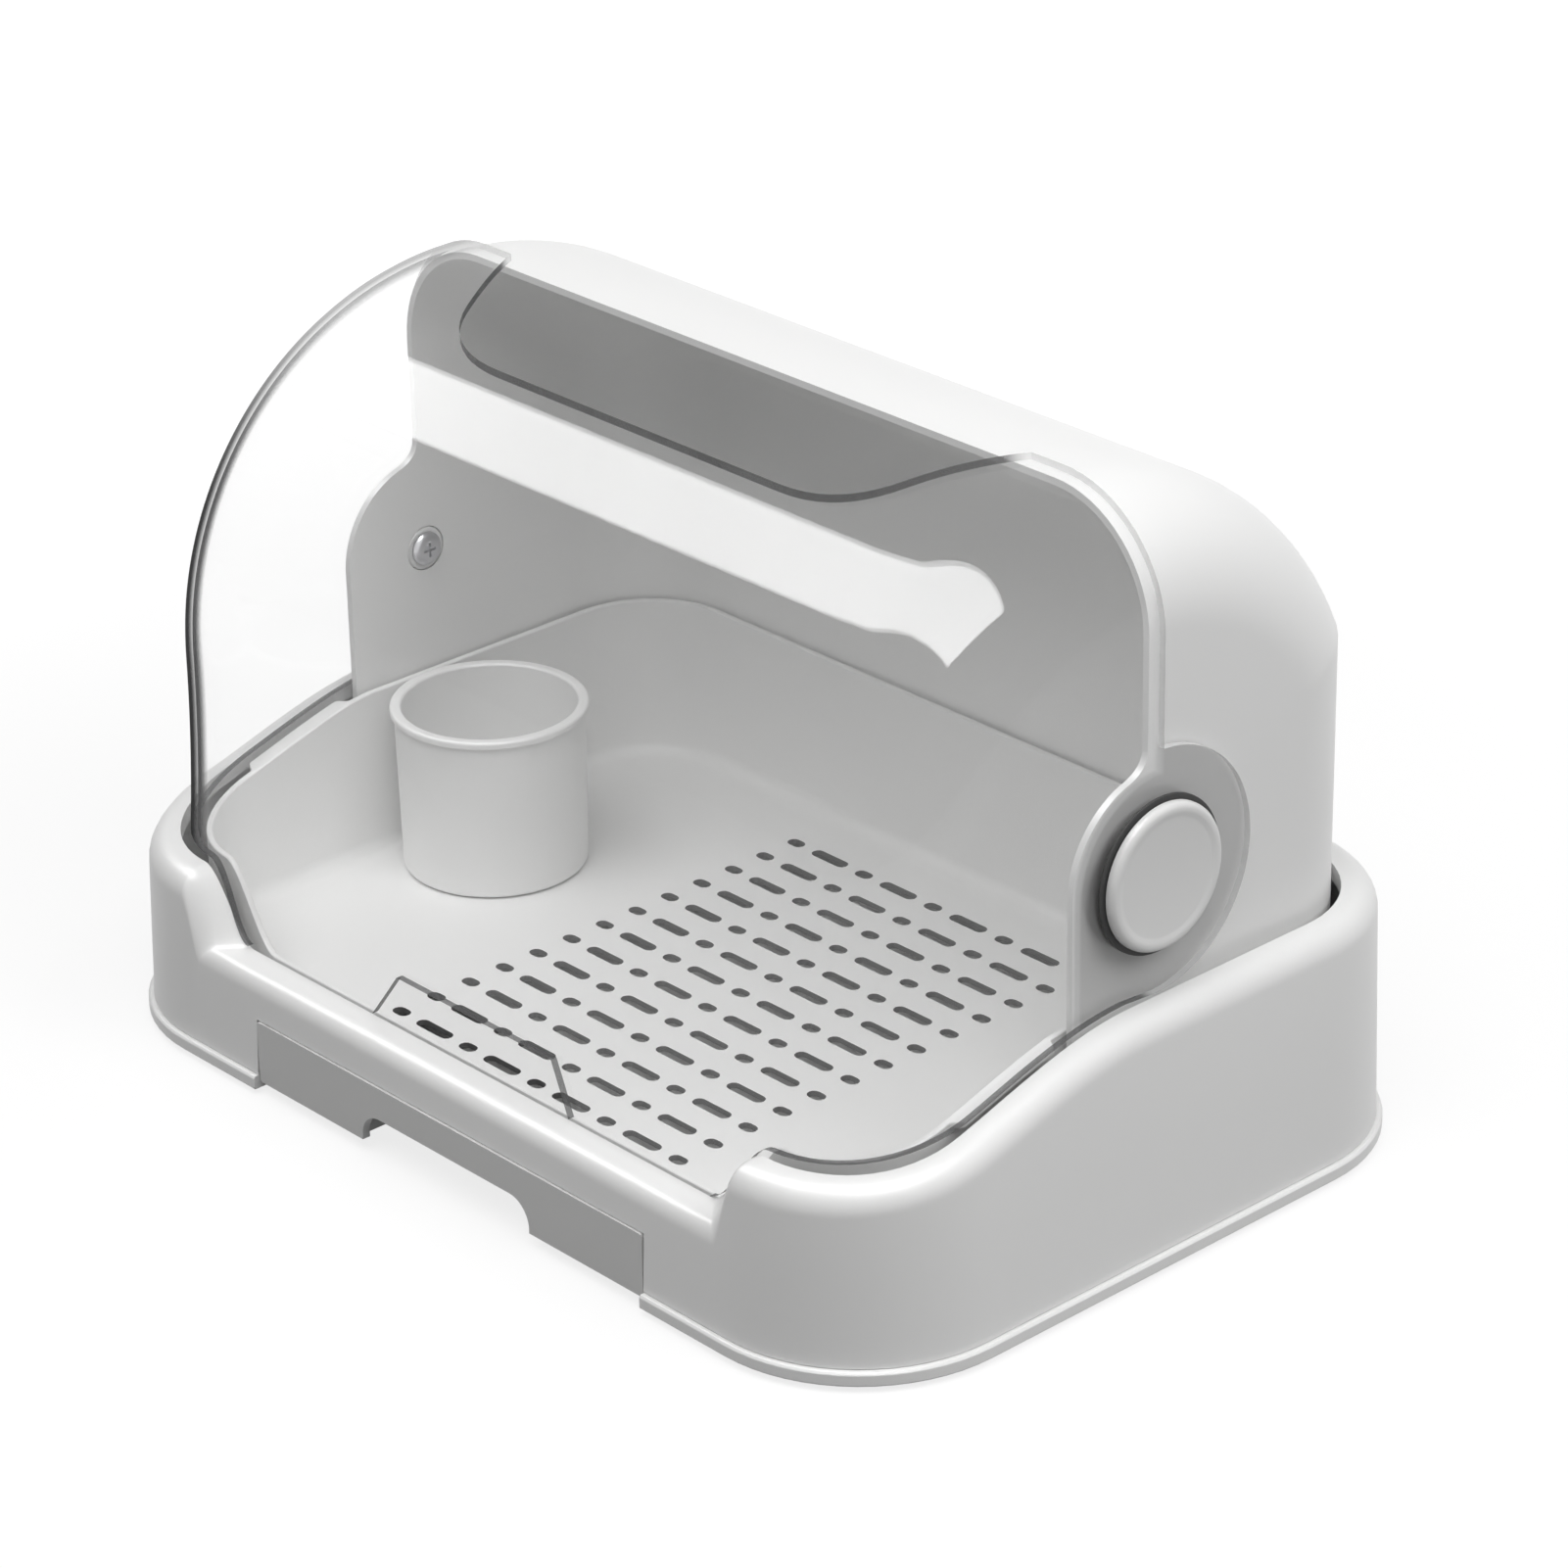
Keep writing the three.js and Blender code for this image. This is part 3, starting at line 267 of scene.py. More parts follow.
class RackStudio(bpy.types.PropertyGroup):
    strip: power("Strip panel", "Power of the long panel that the visor mirrors", 66.0)
    top: power("Top panel", "Power of the broad panel above and behind the rack", 36.0)
    side: power("Side panel", "Power of the soft panel at the right", 32.0)
    room: factor("Room light", "Strength of the even light from all round", 0.12, 2)
    floor_tone: factor("Floor tone", "How pale the floor is for the light that falls on it", 0.22)
    floor_glow: factor("Floor glow", "How far the floor is lifted to white where it is looked at", 0.8)


# Mesh tools


def smoothstep(value, start, stop):
    share = min(1.0, max(0.0, (value - start) / (stop - start)))
    return share * share * (3 - 2 * share)


def mix(a, b, share):
    return a + (b - a) * share


def pick(sizes, names):
    """The sizes of those names, one after another."""
    return [sizes[name] for name in names.split()]


def marks(start, stop, count):
    """Evenly spaced values from start to stop."""
    return [mix(start, stop, i / count) for i in range(count + 1)]


def runs(first, *legs):
    """Values from the first one on. Each leg is where it ends and the number of its steps."""
    places = [first]
    for stop, count in legs:
        places += marks(places[-1], stop, count)[1:]
    return places


def quarter(steps):
    """The angles of a quarter turn, in radians."""
    return [pi / 2 * i / steps for i in range(steps + 1)]


def arc(centre, radius, start, stop, steps):
    """Points of a circular arc, angles in degrees."""
    return [(centre[0] + radius * cos(radians(mix(start, stop, i / steps))),
             centre[1] + radius * sin(radians(mix(start, stop, i / steps)))) for i in range(steps + 1)]


def bent(start, bend, stop, steps):
    """Points of a curve that leaves the start towards the bend and comes to the stop from it."""
    return [start * (1 - t) ** 2 + bend * 2 * t * (1 - t) + stop * t * t for t in marks(0, 1, steps)]


def mirrored(right):
    """The right half of an outline, with its mirror image before it."""
    return [*[(-x, other) for x, other in reversed(right)], *right]


def span(hand, near, far):
    """The low and the high end of a stretch at one side of the middle plane."""
    return sorted((hand * near, hand * far))


def rounded_outline(plan, front_marks=None, side_marks=None, steps=16):
    """Points round a plan rectangle with round corners, from the middle of its front, to the right."""
    half, front, rear, radius = pick(plan, "half front rear radius")
    rear_radius = plan.get("rear_radius", radius)
    right = [(x, front) for x in front_marks or marks(0, half - radius, 8)]
    right += arc((half - radius, front + radius), radius, -90, 0, steps)[1:-1]
    right += [(half, y) for y in side_marks or marks(front + radius, rear - rear_radius, 8)]
    right += arc((half - rear_radius, rear - rear_radius), rear_radius, 0, 90, steps)[1:-1]
    right += [(x, rear) for x in marks(half - rear_radius, 0, 8)]
    left = [(-x, y) for x, y in reversed(right[1:-1])]
    return [Vector(point) for point in right + left]


def inset_plan(plan, by):
    smaller = {"half": plan["half"] - by, "front": plan["front"] + by, "rear": plan["rear"] - by,
               "radius": plan["radius"] - by}
    if "rear_radius" in plan:
        smaller["rear_radius"] = plan["rear_radius"] - by
    return smaller


def level_row(plan, by, z):
    """The plan's outline, moved in by a distance, at a height."""
    return [(p.x, p.y, z) for p in rounded_outline(inset_plan(plan, by))]


def offset_point(i, outline, distance):
    """A point of the outline moved in by a distance."""
    before, here, after = outline[i - 1], outline[i], outline[(i + 1) % len(outline)]
    along = ((here - before).normalized() + (after - here).normalized()).normalized()
    return here.x - along.y * distance, here.y + along.x * distance


def middle_of(node):
    """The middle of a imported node, brought down to the table."""
    low, high = corners(node)
    return Vector(((low.x + high.x) / 2, (low.y + high.y) / 2, 0))


def loop_of(bm, places):
    """A closed loop of edges through the places."""
    verts = [bm.verts.new(place) for place in places]
    return verts, [bm.edges.new((verts[i - 1], verts[i])) for i in range(len(verts))]


def grow(bm, verts, edges, places):
    """Extrudes a loop once and moves it to the next places."""
    order = bm.verts.layers.int["order"]
    for i, vert in enumerate(verts):
        vert[order] = i
    made = bmesh.ops.extrude_edge_only(bm, edges=edges)["geom"]
    new = sorted((g for g in made if isinstance(g, bmesh.types.BMVert)), key=lambda v: v[order])
    for vert, place in zip(new, places):
        vert.co = place
    fresh = set(new)
    ring = dict.fromkeys(e for v in new for e in v.link_edges if fresh.issuperset(e.verts))
    return new, list(ring)


def swept(rows, closed):
    """A skin through rows of places: a tube when closed, or a solid with a flat lid at each end."""
    bm = bmesh.new()
    bm.verts.layers.int.new("order")
    verts, edges = loop_of(bm, rows[0])
    lids = [verts]
    for places in rows[1:]:
        verts, edges = grow(bm, verts, edges, places)
    if not closed:
        for lid in (*lids, verts):
            bm.faces.new(lid)
    bmesh.ops.remove_doubles(bm, verts=bm.verts, dist=SAME)
    bmesh.ops.recalc_face_normals(bm, faces=bm.faces)
    return bm


def ring_of(rows):
    """A skin through the rows and back to the first one."""
    return swept([*rows, rows[0]], closed=True)


def prism(points, low, high, axis):
    """An outline drawn along an axis, as a closed solid."""
    turn = {"X": lambda a, b, c: (c, a, b),
            "Y": lambda a, b, c: (a, c, b),
            "Z": lambda a, b, c: (a, b, c)}[axis]
    bm = bmesh.new()
    face = bm.faces.new([bm.verts.new(turn(a, b, low)) for a, b in points])
    made = bmesh.ops.extrude_face_region(bm, geom=[face])["geom"]
    shift = Vector(turn(0, 0, high - low))
    bmesh.ops.translate(bm, vec=shift, verts=[g for g in made if isinstance(g, bmesh.types.BMVert)])
    bmesh.ops.recalc_face_normals(bm, faces=bm.faces)
    return bm


def block(low, high):
    """A box between two corners."""
    bm = bmesh.new()
    bmesh.ops.create_cube(bm, size=1)
    low, high = Vector(low), Vector(high)
    bmesh.ops.scale(bm, vec=high - low, verts=bm.verts)
    bmesh.ops.translate(bm, vec=(low + high) / 2, verts=bm.verts)
    return bm


def turned(profile, axis, centre, steps):
    """A profile of (along the axis, radius) points spun once round the axis."""
    bm = bmesh.new()
    side = Vector((0, 0, 1)) if axis == "X" else Vector((1, 0, 0))
    along = Vector((1, 0, 0)) if axis == "X" else Vector((0, 0, 1))
    verts = [bm.verts.new(centre + along * a + side * r) for a, r in profile]
    edges = [bm.edges.new(pair) for pair in zip(verts, verts[1:])]
    bmesh.ops.spin(bm, geom=verts + edges, cent=centre, axis=along, angle=2 * pi, steps=steps, use_merge=True)
    bmesh.ops.remove_doubles(bm, verts=bm.verts, dist=SAME)
    bmesh.ops.dissolve_degenerate(bm, edges=bm.edges, dist=SLIVER)
    bmesh.ops.recalc_face_normals(bm, faces=bm.faces)
    return bm


def rod(start, stop, radius, axis, centre, steps=TURN["hole"]):
    """A plain cylinder between two places along the axis."""
    return turned([(start, 0), (start, radius), (stop, radius), (stop, 0)], axis, centre, steps)


def cutting(bm):
    """A cutter whose faces leave the second finish where they cut."""
    for face in bm.faces:
        face.material_index = CUT_FACES
    return bm


def joined(*parts):
    """Several meshes in one, without joining their surfaces."""
    whole = bmesh.new()
    for part in parts:
        passing = bpy.data.meshes.new("part")
        part.to_mesh(passing)
        part.free()
        whole.from_mesh(passing)
        bpy.data.meshes.remove(passing)
    return whole


def as_object(name, bm, finishes=()):
    mesh = bpy.data.meshes.new(name)
    bm.to_mesh(mesh)
    bm.free()
    made = bpy.data.objects.new(name, mesh)
    bpy.context.collection.objects.link(made)
    for finish in finishes:
        mesh.materials.append(finish_named(finish))
    return made


def drop(thing):
    """Removes an object and its mesh."""
    worn = thing.data
    bpy.data.objects.remove(thing)
    bpy.data.meshes.remove(worn)


def carved(bm, *steps, finishes=()):
    """A mesh after a run of boolean steps, each an operation and another mesh."""
    made = as_object("work", bm, finishes)
    for operation, other in steps:
        tool = as_object("tool", other, finishes)
        change = made.modifiers.new("cut", "BOOLEAN")
        change.operation = operation
        change.solver = "MANIFOLD"
        change.object = tool
        mesh = bpy.data.meshes.new_from_object(made.evaluated_get(bpy.context.evaluated_depsgraph_get()))
        made.modifiers.clear()
        old, made.data = made.data, mesh
        bpy.data.meshes.remove(old)
        drop(tool)
    result = bmesh.new()
    result.from_mesh(made.data)
    drop(made)
    if not result.faces:
        raise RuntimeError("a boolean step left nothing")
    bmesh.ops.remove_doubles(result, verts=result.verts, dist=SAME_AFTER_CUT)
    bmesh.ops.dissolve_degenerate(result, edges=result.edges, dist=SAME_AFTER_CUT)
    return result


def finished(name, bm, finishes, body, nodes, edge_round, crease=30):
    """A piece in metres at its place, smooth but for its creases, with its outward edges rounded."""
    bmesh.ops.scale(bm, vec=(MM, MM, MM), verts=bm.verts)
    bmesh.ops.triangulate(bm, faces=[face for face in bm.faces if len(face.verts) > 4])
    weight = bm.edges.layers.float.new("bevel_weight_edge")
    limit = radians(crease)
    for face in bm.faces:
        face.smooth = True
    for edge in bm.edges:
        turn = edge.calc_face_angle_signed(0)
        edge.smooth = abs(turn) < limit
        edge[weight] = float(turn > limit)
    piece = as_object(name, bm, finishes)
    if edge_round:
        bevel = piece.modifiers.new("Edges", "BEVEL")
        bevel.width = edge_round
        bevel.segments = BEVEL_STEPS
        bevel.limit_method = "WEIGHT"
        bevel.harden_normals = True
    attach(piece, body)
    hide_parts(*nodes)
    return piece


def dress_node(node, finish, edge_round):
    """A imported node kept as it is, with its own finish and softened edges."""
    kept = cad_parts[node]
    kept.data.materials.clear()
    kept.data.materials.append(finish_named(finish))
    weld = kept.modifiers.new("Weld", "WELD")
    weld.merge_threshold = 0.00001
    bevel = kept.modifiers.new("Edges", "BEVEL")
    bevel.width = edge_round
    bevel.segments = BEVEL_STEPS
    bevel.limit_method = "ANGLE"
    bevel.angle_limit = radians(35)


# Shader tools


def grey(level):
    return (level, level, level, 1)


class Wire:
    """An output socket that adds Math nodes when it is used in sums."""

    def __init__(self, graph, socket):
        self.graph, self.socket = graph, socket

    def maths(self, operation, *terms):
        return self.graph.add("Math", dict(enumerate(terms)), operation=operation)

    def __add__(self, other):
        return self.maths("ADD", self, other)

    def __sub__(self, other):
        return self.maths("SUBTRACT", self, other)

    def __rsub__(self, other):
        return self.maths("SUBTRACT", other, self)

    def __mul__(self, other):
        return self.maths("MULTIPLY", self, other)

    def __pow__(self, other):
        return self.maths("POWER", self, other)

    def __abs__(self):
        return self.maths("ABSOLUTE", self)

    __radd__ = __add__
    __rmul__ = __mul__

    def most(self, *others):
        """The greatest of this wire and the others."""
        level = self
        for other in others:
            level = self.maths("MAXIMUM", level, other)
        return level


class Graph:
    """A material's or world's nodes."""

    def __init__(self, owner):
        owner.use_nodes = True
        self.owner, self.tree = owner, owner.node_tree
        self.tree.nodes.clear()

    def add(self, kind, sockets=None, output=0, **settings):
        """A shader node of that type, with its settings set first and its sockets after, as the wire of one output."""
        node = self.tree.nodes.new("ShaderNode" + kind)
        for key, value in settings.items():
            if key == "stops":
                ramp = node.color_ramp.elements
                while len(ramp) < len(value):
                    ramp.new(1)
                for element, (place, level) in zip(ramp, value):
                    element.position, element.color = place, grey(level)
            else:
                setattr(node, key, value)
        for key, value in (sockets or {}).items():
            if isinstance(value, Wire):
                self.tree.links.new(value.socket, node.inputs[key])
            else:
                node.inputs[key].default_value = value
        return Wire(self, node.outputs[output]) if node.outputs else node

    def place(self):
        return self.add("TexCoord", output="Object")

    def noise(self, scale, detail, stretch=None):
        where = self.place()
        if stretch:
            where = self.add("Mapping", {"Vector": where, "Scale": stretch})
        return self.add("TexNoise", {"Vector": where, "Scale": scale, "Detail": detail})

    def blend(self, share, low, high):
        """The low colour where the share is 0 and the high one where it is 1."""
        return self.add("Mix", {0: share, 6: low, 7: high}, output=2, data_type="RGBA")

    def tone(self, colour, share, wire):
        """The colour, down to a share of it where the wire is low."""
        return self.blend(wire, tuple(c * share for c in colour[:3]) + (1,), tuple(colour[:3]) + (1,))

    def ease(self, wire, start, stop):
        """0 at the start and 1 at the stop, both in millimetres, and smooth between them."""
        return self.add("MapRange", {0: wire, 1: start * MM, 2: stop * MM, 3: 0.0, 4: 1.0},
                        interpolation_type="SMOOTHSTEP")

    def bump(self, height, distance, strength):
        return self.add("Bump", {"Height": height, "Distance": distance, "Strength": strength})

    def clear(self, level):
        return self.add("BsdfTransparent", {"Color": grey(level)})

    def both(self, share, low, high):
        """The low shader where the share is 0 and the high one where it is 1."""
        return self.add("MixShader", {0: share, 1: low, 2: high})

    def surface(self, shader):
        kind = "OutputWorld" if isinstance(self.owner, bpy.types.World) else "OutputMaterial"
        self.add(kind, {"Surface": shader})
        return self.owner


def seen(graph):
    """1 for the rays that show a thing, straight or in gloss or glass, and 0 for those that light it."""
    straight, glossy, through = (graph.add("LightPath", output=name)
                                 for name in ("Is Camera Ray", "Is Glossy Ray", "Is Transmission Ray"))
    return straight.most(glossy, through)


def moulded(name, colour, roughness, grain):
    """Moulded plastic: a faint cloudiness, a satin that varies a little, and fine spark-erosion grain."""
    graph = Graph(bpy.data.materials.new(name))
    cloud = graph.noise(scale=9.0, detail=3.0)
    satin = graph.noise(scale=55.0, detail=4.0)
    fine = graph.noise(scale=1400.0, detail=2.0)
    swell = graph.noise(scale=38.0, detail=1.0)
    return graph.surface(graph.add("BsdfPrincipled", {
        "Base Color": graph.tone(colour, 0.975, cloud),
        "Roughness": roughness - 0.05 + satin * 0.1,
        "Normal": graph.bump(fine + swell * 3.0, distance=grain, strength=0.5),
        "Specular IOR Level": 0.5,
    }))


def rubbery(name, colour):
    graph = Graph(bpy.data.materials.new(name))
    cloud = graph.noise(scale=30.0, detail=3.0)
    fine = graph.noise(scale=900.0, detail=3.0)
    return graph.surface(graph.add("BsdfPrincipled", {
        "Base Color": graph.tone(colour, 0.7, cloud),
        "Roughness": 0.62 + cloud * 0.2,
        "Normal": graph.bump(fine, distance=0.00008, strength=0.6),
    }))


def plated(name, colour):
    graph = Graph(bpy.data.materials.new(name))
    lines = graph.noise(scale=90.0, detail=4.0, stretch=(1.0, 1.0, 14.0))
    cloud = graph.noise(scale=120.0, detail=2.0)
    return graph.surface(graph.add("BsdfPrincipled", {
        "Base Color": graph.tone(colour, 0.8, cloud),
        "Metallic": 1.0,
        "Roughness": 0.22 + lines * 0.18,
        "Normal": graph.bump(lines, distance=0.00003, strength=0.4),
    }))


def lit_through(graph, shader):
    """The shader for eyes, and a clear passage for the light of the lamps."""
    shadow = graph.add("LightPath", output="Is Shadow Ray")
    return graph.both(shadow, shader, graph.clear(SHEET["to_lamps"]))


def ear_painted_shade(graph, place, x, y, z):
    """1 where the right side of the sheet lies before the hood's ear and the wall behind it: the mask of the painted
    shade there.
    """
    off_axis = graph.add("VectorMath", {0: place, 1: (0, 1, 1), 2: -PIVOT * MM}, operation="MULTIPLY_ADD")
    reach = graph.add("VectorMath", {0: off_axis}, "Value", operation="LENGTH")
    edge, ear_front = SHEET["ear_edge"], PIVOT.y - EAR_RADIUS
    on_ear = graph.ease(reach, EAR_RADIUS + edge, EAR_RADIUS - edge)
    behind = graph.ease(y, PIVOT.y, PIVOT.y + SHEET["behind_ear"])
    below = graph.ease(y, ear_front - edge, ear_front + edge) * graph.ease(z, PIVOT.z + edge, PIVOT.z - edge)
    right_side = graph.ease(x, *(visor_high.x - inside for inside in SHEET["right_side"]))
    return on_ear.most(behind, below) * right_side


def clear_sheet(name, edge_colour):
    """Clear sheet: all but a mirror's share passes, with painted shade at its rims and over the hood's ear."""
    graph = Graph(bpy.data.materials.new(name))
    facing = graph.add("LayerWeight", {"Blend": 0.5}, output="Facing")
    place = graph.place()
    x, y, z = (graph.add("SeparateXYZ", {0: place}, output=axis) for axis in "XYZ")
    # Painted shade: the sheet lets less through on its right side, over the hood's ear.
    through = graph.both(ear_painted_shade(graph, place, x, y, z), graph.clear(1.0), graph.clear(SHEET["ear_painted_shade"]))
    haze = graph.noise(scale=18.0, detail=2.0)
    mirror = graph.add("BsdfPrincipled", {
        "Base Color": grey(1.0), "Metallic": 1.0, "Roughness": 0.02 + haze * 0.02})
    # Painted shade: a dark matt surface mixed in at the sheet's rims, stronger at the corners and weaker on the roof
    # and flat sides.
    dark = graph.add("BsdfPrincipled", {
        "Base Color": tuple(edge_colour) + (1,), "Roughness": 0.6, "Specular IOR Level": 0.0})
    pane = graph.both(SHEET["mirror"] + facing ** 4.0 * SHEET["mirror_grazing"], through, mirror)
    rim = graph.add("ValToRGB", {0: facing}, stops=SHEET["rim"])
    across = abs(x)
    start, stop = (visor_high.x - inside for inside in SHEET["flat_side"])
    on_corner = graph.ease(across, *SHEET["corner"]) * (1 - graph.ease(across, start, stop) * SHEET["flat_side_less"])
    on_roof = graph.ease(z, *SHEET["roof"])
    rim = rim * (1 - on_roof * SHEET["roof_less"]) * (SHEET["middle"] + on_corner * (1 - SHEET["middle"]))
    return graph.surface(lit_through(graph, graph.both(rim, pane, dark)))


def sheet_edge(name, edge_colour):
    """The polished edge of the clear sheet, with painted shade along its length and painted light at the back, where
    it lies on the hood.
    """
    graph = Graph(bpy.data.materials.new(name))
    streak = graph.noise(scale=60.0, detail=2.0)
    depth = graph.add("SeparateXYZ", {0: graph.place()}, output="Y")
    # Painted light: the edge turns paler towards the back, where it lies on the hood.
    pale = graph.ease(depth, *SHEET_EDGE["pales"])
    dark = graph.tone(edge_colour, SHEET_EDGE["dark"], streak)
    painted_edge_shade = graph.add("BsdfPrincipled", {
        "Base Color": graph.blend(pale, dark, grey(SHEET_EDGE["pale"])),
        "Roughness": 0.5, "Specular IOR Level": 0.1})
    share = SHEET_EDGE["grey"] + streak * SHEET_EDGE["streaks"] - pale * SHEET_EDGE["paler"]
    return graph.surface(lit_through(graph, graph.both(share, graph.clear(SHEET_EDGE["clear"]), painted_edge_shade)))


def finish_named(name):
    """A finish of the rack, made once."""
    if name in bpy.data.materials:
        return bpy.data.materials[name]
    colours, grain = bpy.context.scene.rack_colours, bpy.context.scene.rack_sizes.grain
    recipes = {
        "white_shell": lambda: moulded(name, colours.shell, 0.34, grain),
        "white_tray": lambda: moulded(name, colours.tray, 0.42, grain),
        # Painted shade for the walls inside the drain slots.
        "slot_painted_shade": lambda: moulded(name, colours.slot_painted_shade, 0.6, grain),
        "grey_drawer": lambda: moulded(name, colours.drawer, 0.45, grain),
        "white_knob": lambda: moulded(name, colours.knob, 0.3, grain),
        "dark_rubber": lambda: rubbery(name, colours.rubber),
        "plated_steel": lambda: plated(name, colours.steel),
        "clear_sheet": lambda: clear_sheet(name, colours.sheet_edge),
        "sheet_edge": lambda: sheet_edge(name, colours.sheet_edge),
    }
    return recipes[name]()


# Shapes of the pieces


def rim_height(y):
    """The rim's height along the sides, low in front and high behind."""
    return mix(RIM_FRONT, housing_high.z, smoothstep(y, *RIM_RISE))


def off_ledge(point):
    """0 along the even part of the ledge, and 1 where the rim has its full height."""
    return 1 if point.y > 0 else smoothstep(abs(point.x), *LEDGE_RISE)


def ledge_marks(plan, rise):
    """Places along a front for the even part of the ledge, and closer ones for its rise."""
    return runs(0, (rise[0], 8), (min(rise[1], plan["half"] - plan["radius"]), 14))


def side_marks(plan):
    """Places along a side, with one where the rim stops rising."""
    return runs(plan["front"] + plan["radius"], (RIM_RISE[1], 20), (plan["rear"] - plan["radius"], 6))


def housing_section(out, into):
    """The wall and its rolled rim between a point outside and the one inside it."""
    foot, width, share = housing_low.z, (out - into).length, off_ledge(into)
    top = mix(LEDGE, rim_height(into.y), share)
    wide, high = (mix(a, b, share) for a, b in zip(LEDGE_ROUND, RIM_ROUND))
    over = [(WALL_DRAFT + wide * (1 - cos(t)), top - high + high * sin(t)) for t in quarter(10)]
    under = [(WALL_DRAFT + RIM_SKIN + (wide - RIM_SKIN) * (1 - cos(t)),
              top - high + (high - RIM_SKIN) * sin(t)) for t in reversed(quarter(6))]
    wall = [(WALL_DRAFT * s, mix(foot, over[0][1], s)) for s in (0, 0.5)]
    section = [*wall, *over, (width, top), (width, top - RIM_LIP), (width - RIM_SKIN, top - RIM_LIP),
               (width - RIM_SKIN, top - RIM_SKIN), *under, (WALL, foot)]
    return [(*(out + (into - out) * (d / width)), z) for d, z in section]


def housing_mesh():
    outer = rounded_outline(BASE, ledge_marks(BASE, LEDGE_RISE_OUTSIDE), side_marks(BASE))
    inner = rounded_outline(OPENING, ledge_marks(OPENING, LEDGE_RISE), side_marks(OPENING))
    sections = [housing_section(out, into) for out, into in zip(outer, inner)]
    wall = ring_of([list(row) for row in zip(*sections)])
    root, reach, low, high = pick(RIB, "root reach low high")
    rib = ring_of([level_row(BASE, by, z) for by, z in ((root, low), (reach, low), (reach, high), (root, high))])
    half, front = MOUTH["half"], BASE["front"] - PAST
    rib = carved(rib, ("DIFFERENCE", block((-half, front, 0), (half, 0, high + PAST))))
    mouth = block((-half, front, 0), (half, MOUTH["rear"], MOUTH["top"]))
    return carved(wall, ("UNION", rib), ("DIFFERENCE", mouth))


def plate_mesh():
    plan = {"half": plate_high.x, "front": plate_low.y, "rear": plate_high.y, "radius": BASE_RADIUS + LIP_REACH}
    below, above = LIP_EDGES
    slab = swept([level_row(plan, by, z) for by, z in (
        (below, plate_low.z), (0, plate_low.z + below), (0, LIP_TOP - above), (above, LIP_TOP),
        (LIP_WIDTH, LIP_TOP), (LIP_WIDTH, PLATE_TOP))], closed=False)
    notch = block((-MOUTH["half"], plan["front"] - PAST, 0), (MOUTH["half"], PLATE_NOTCH_REAR, LIP_TOP + PAST))
    steps = [("DIFFERENCE", notch)]
    inner, outer, front, rear, root = pick(RAIL, "inner outer front rear root")
    for hand in (-1, 1):
        near, far = span(hand, inner, outer)
        steps.append(("UNION", block((near, front, root), (far, rear, plate_high.z))))
    middle = (inner + outer) / 2
    steps.append(("UNION", block((-middle, rear - (outer - inner), root), (middle, rear, plate_high.z))))
    shank, head, sunk = pick(SCREW_HOLE, "shank head sunk")
    seat, end = plate_low.z + sunk, PLATE_TOP + PAST
    drill = [(0, 0), (0, head), (seat, head), (seat, shank), (end, shank), (end, 0)]
    holes = [turned(drill, "Z", middle_of(name), TURN["hole"]) for name in PLATE_SCREWS]
    holes += [rod(0, end, FOOT_HOLE, "Z", middle_of(name)) for name in FEET]
    steps.append(("DIFFERENCE", joined(*holes)))
    return carved(slab, *steps)


def foot_mesh(name):
    pad, stem, deep = pick(FOOT, "pad stem groove_depth")
    inner, groove_in, groove_out, outer = FOOT["groove"]
    shoulder, neck = FOOT["shoulder"]
    barb, top = PLATE_TOP + FOOT["barb_gap"], corners(name)[1].z
    profile = [(0, 0), (0, inner), (deep, groove_in), (deep, groove_out), (0, outer), *FOOT["edge"],
               (pad * FOOT["shoulder_share"], shoulder), (pad, neck), (pad, stem), (barb, stem), (barb, FOOT["barb"]),
               (top, stem), (top, 0)]
    return turned(profile, "Z", middle_of(name), TURN["foot"])


def plate_screw_mesh(name):
    low, high = (corner.z for corner in corners(name))
    centre = middle_of(name)
    profile = [(low + up, radius) for up, radius in PLATE_SCREW["crown"]]
    z, pitch = profile[-1][0], PLATE_SCREW["thread"][-1][0]
    while z < high - PLATE_SCREW["bare"]:
        profile += [(z + along, radius) for along, radius in PLATE_SCREW["thread"]]
        z += pitch
    profile += [(high - back, radius) for back, radius in PLATE_SCREW["tip"]]
    steps = []
    for reach, width in (PLATE_SCREW["cross"], PLATE_SCREW["cross"][::-1]):
        arm = block((-reach, -width, -1), (reach, width, low + PLATE_SCREW["recess"]))
        bmesh.ops.translate(arm, vec=centre, verts=arm.verts)
        steps.append(("DIFFERENCE", arm))
    return carved(turned(profile, "Z", centre, TURN["screw"]), *steps)


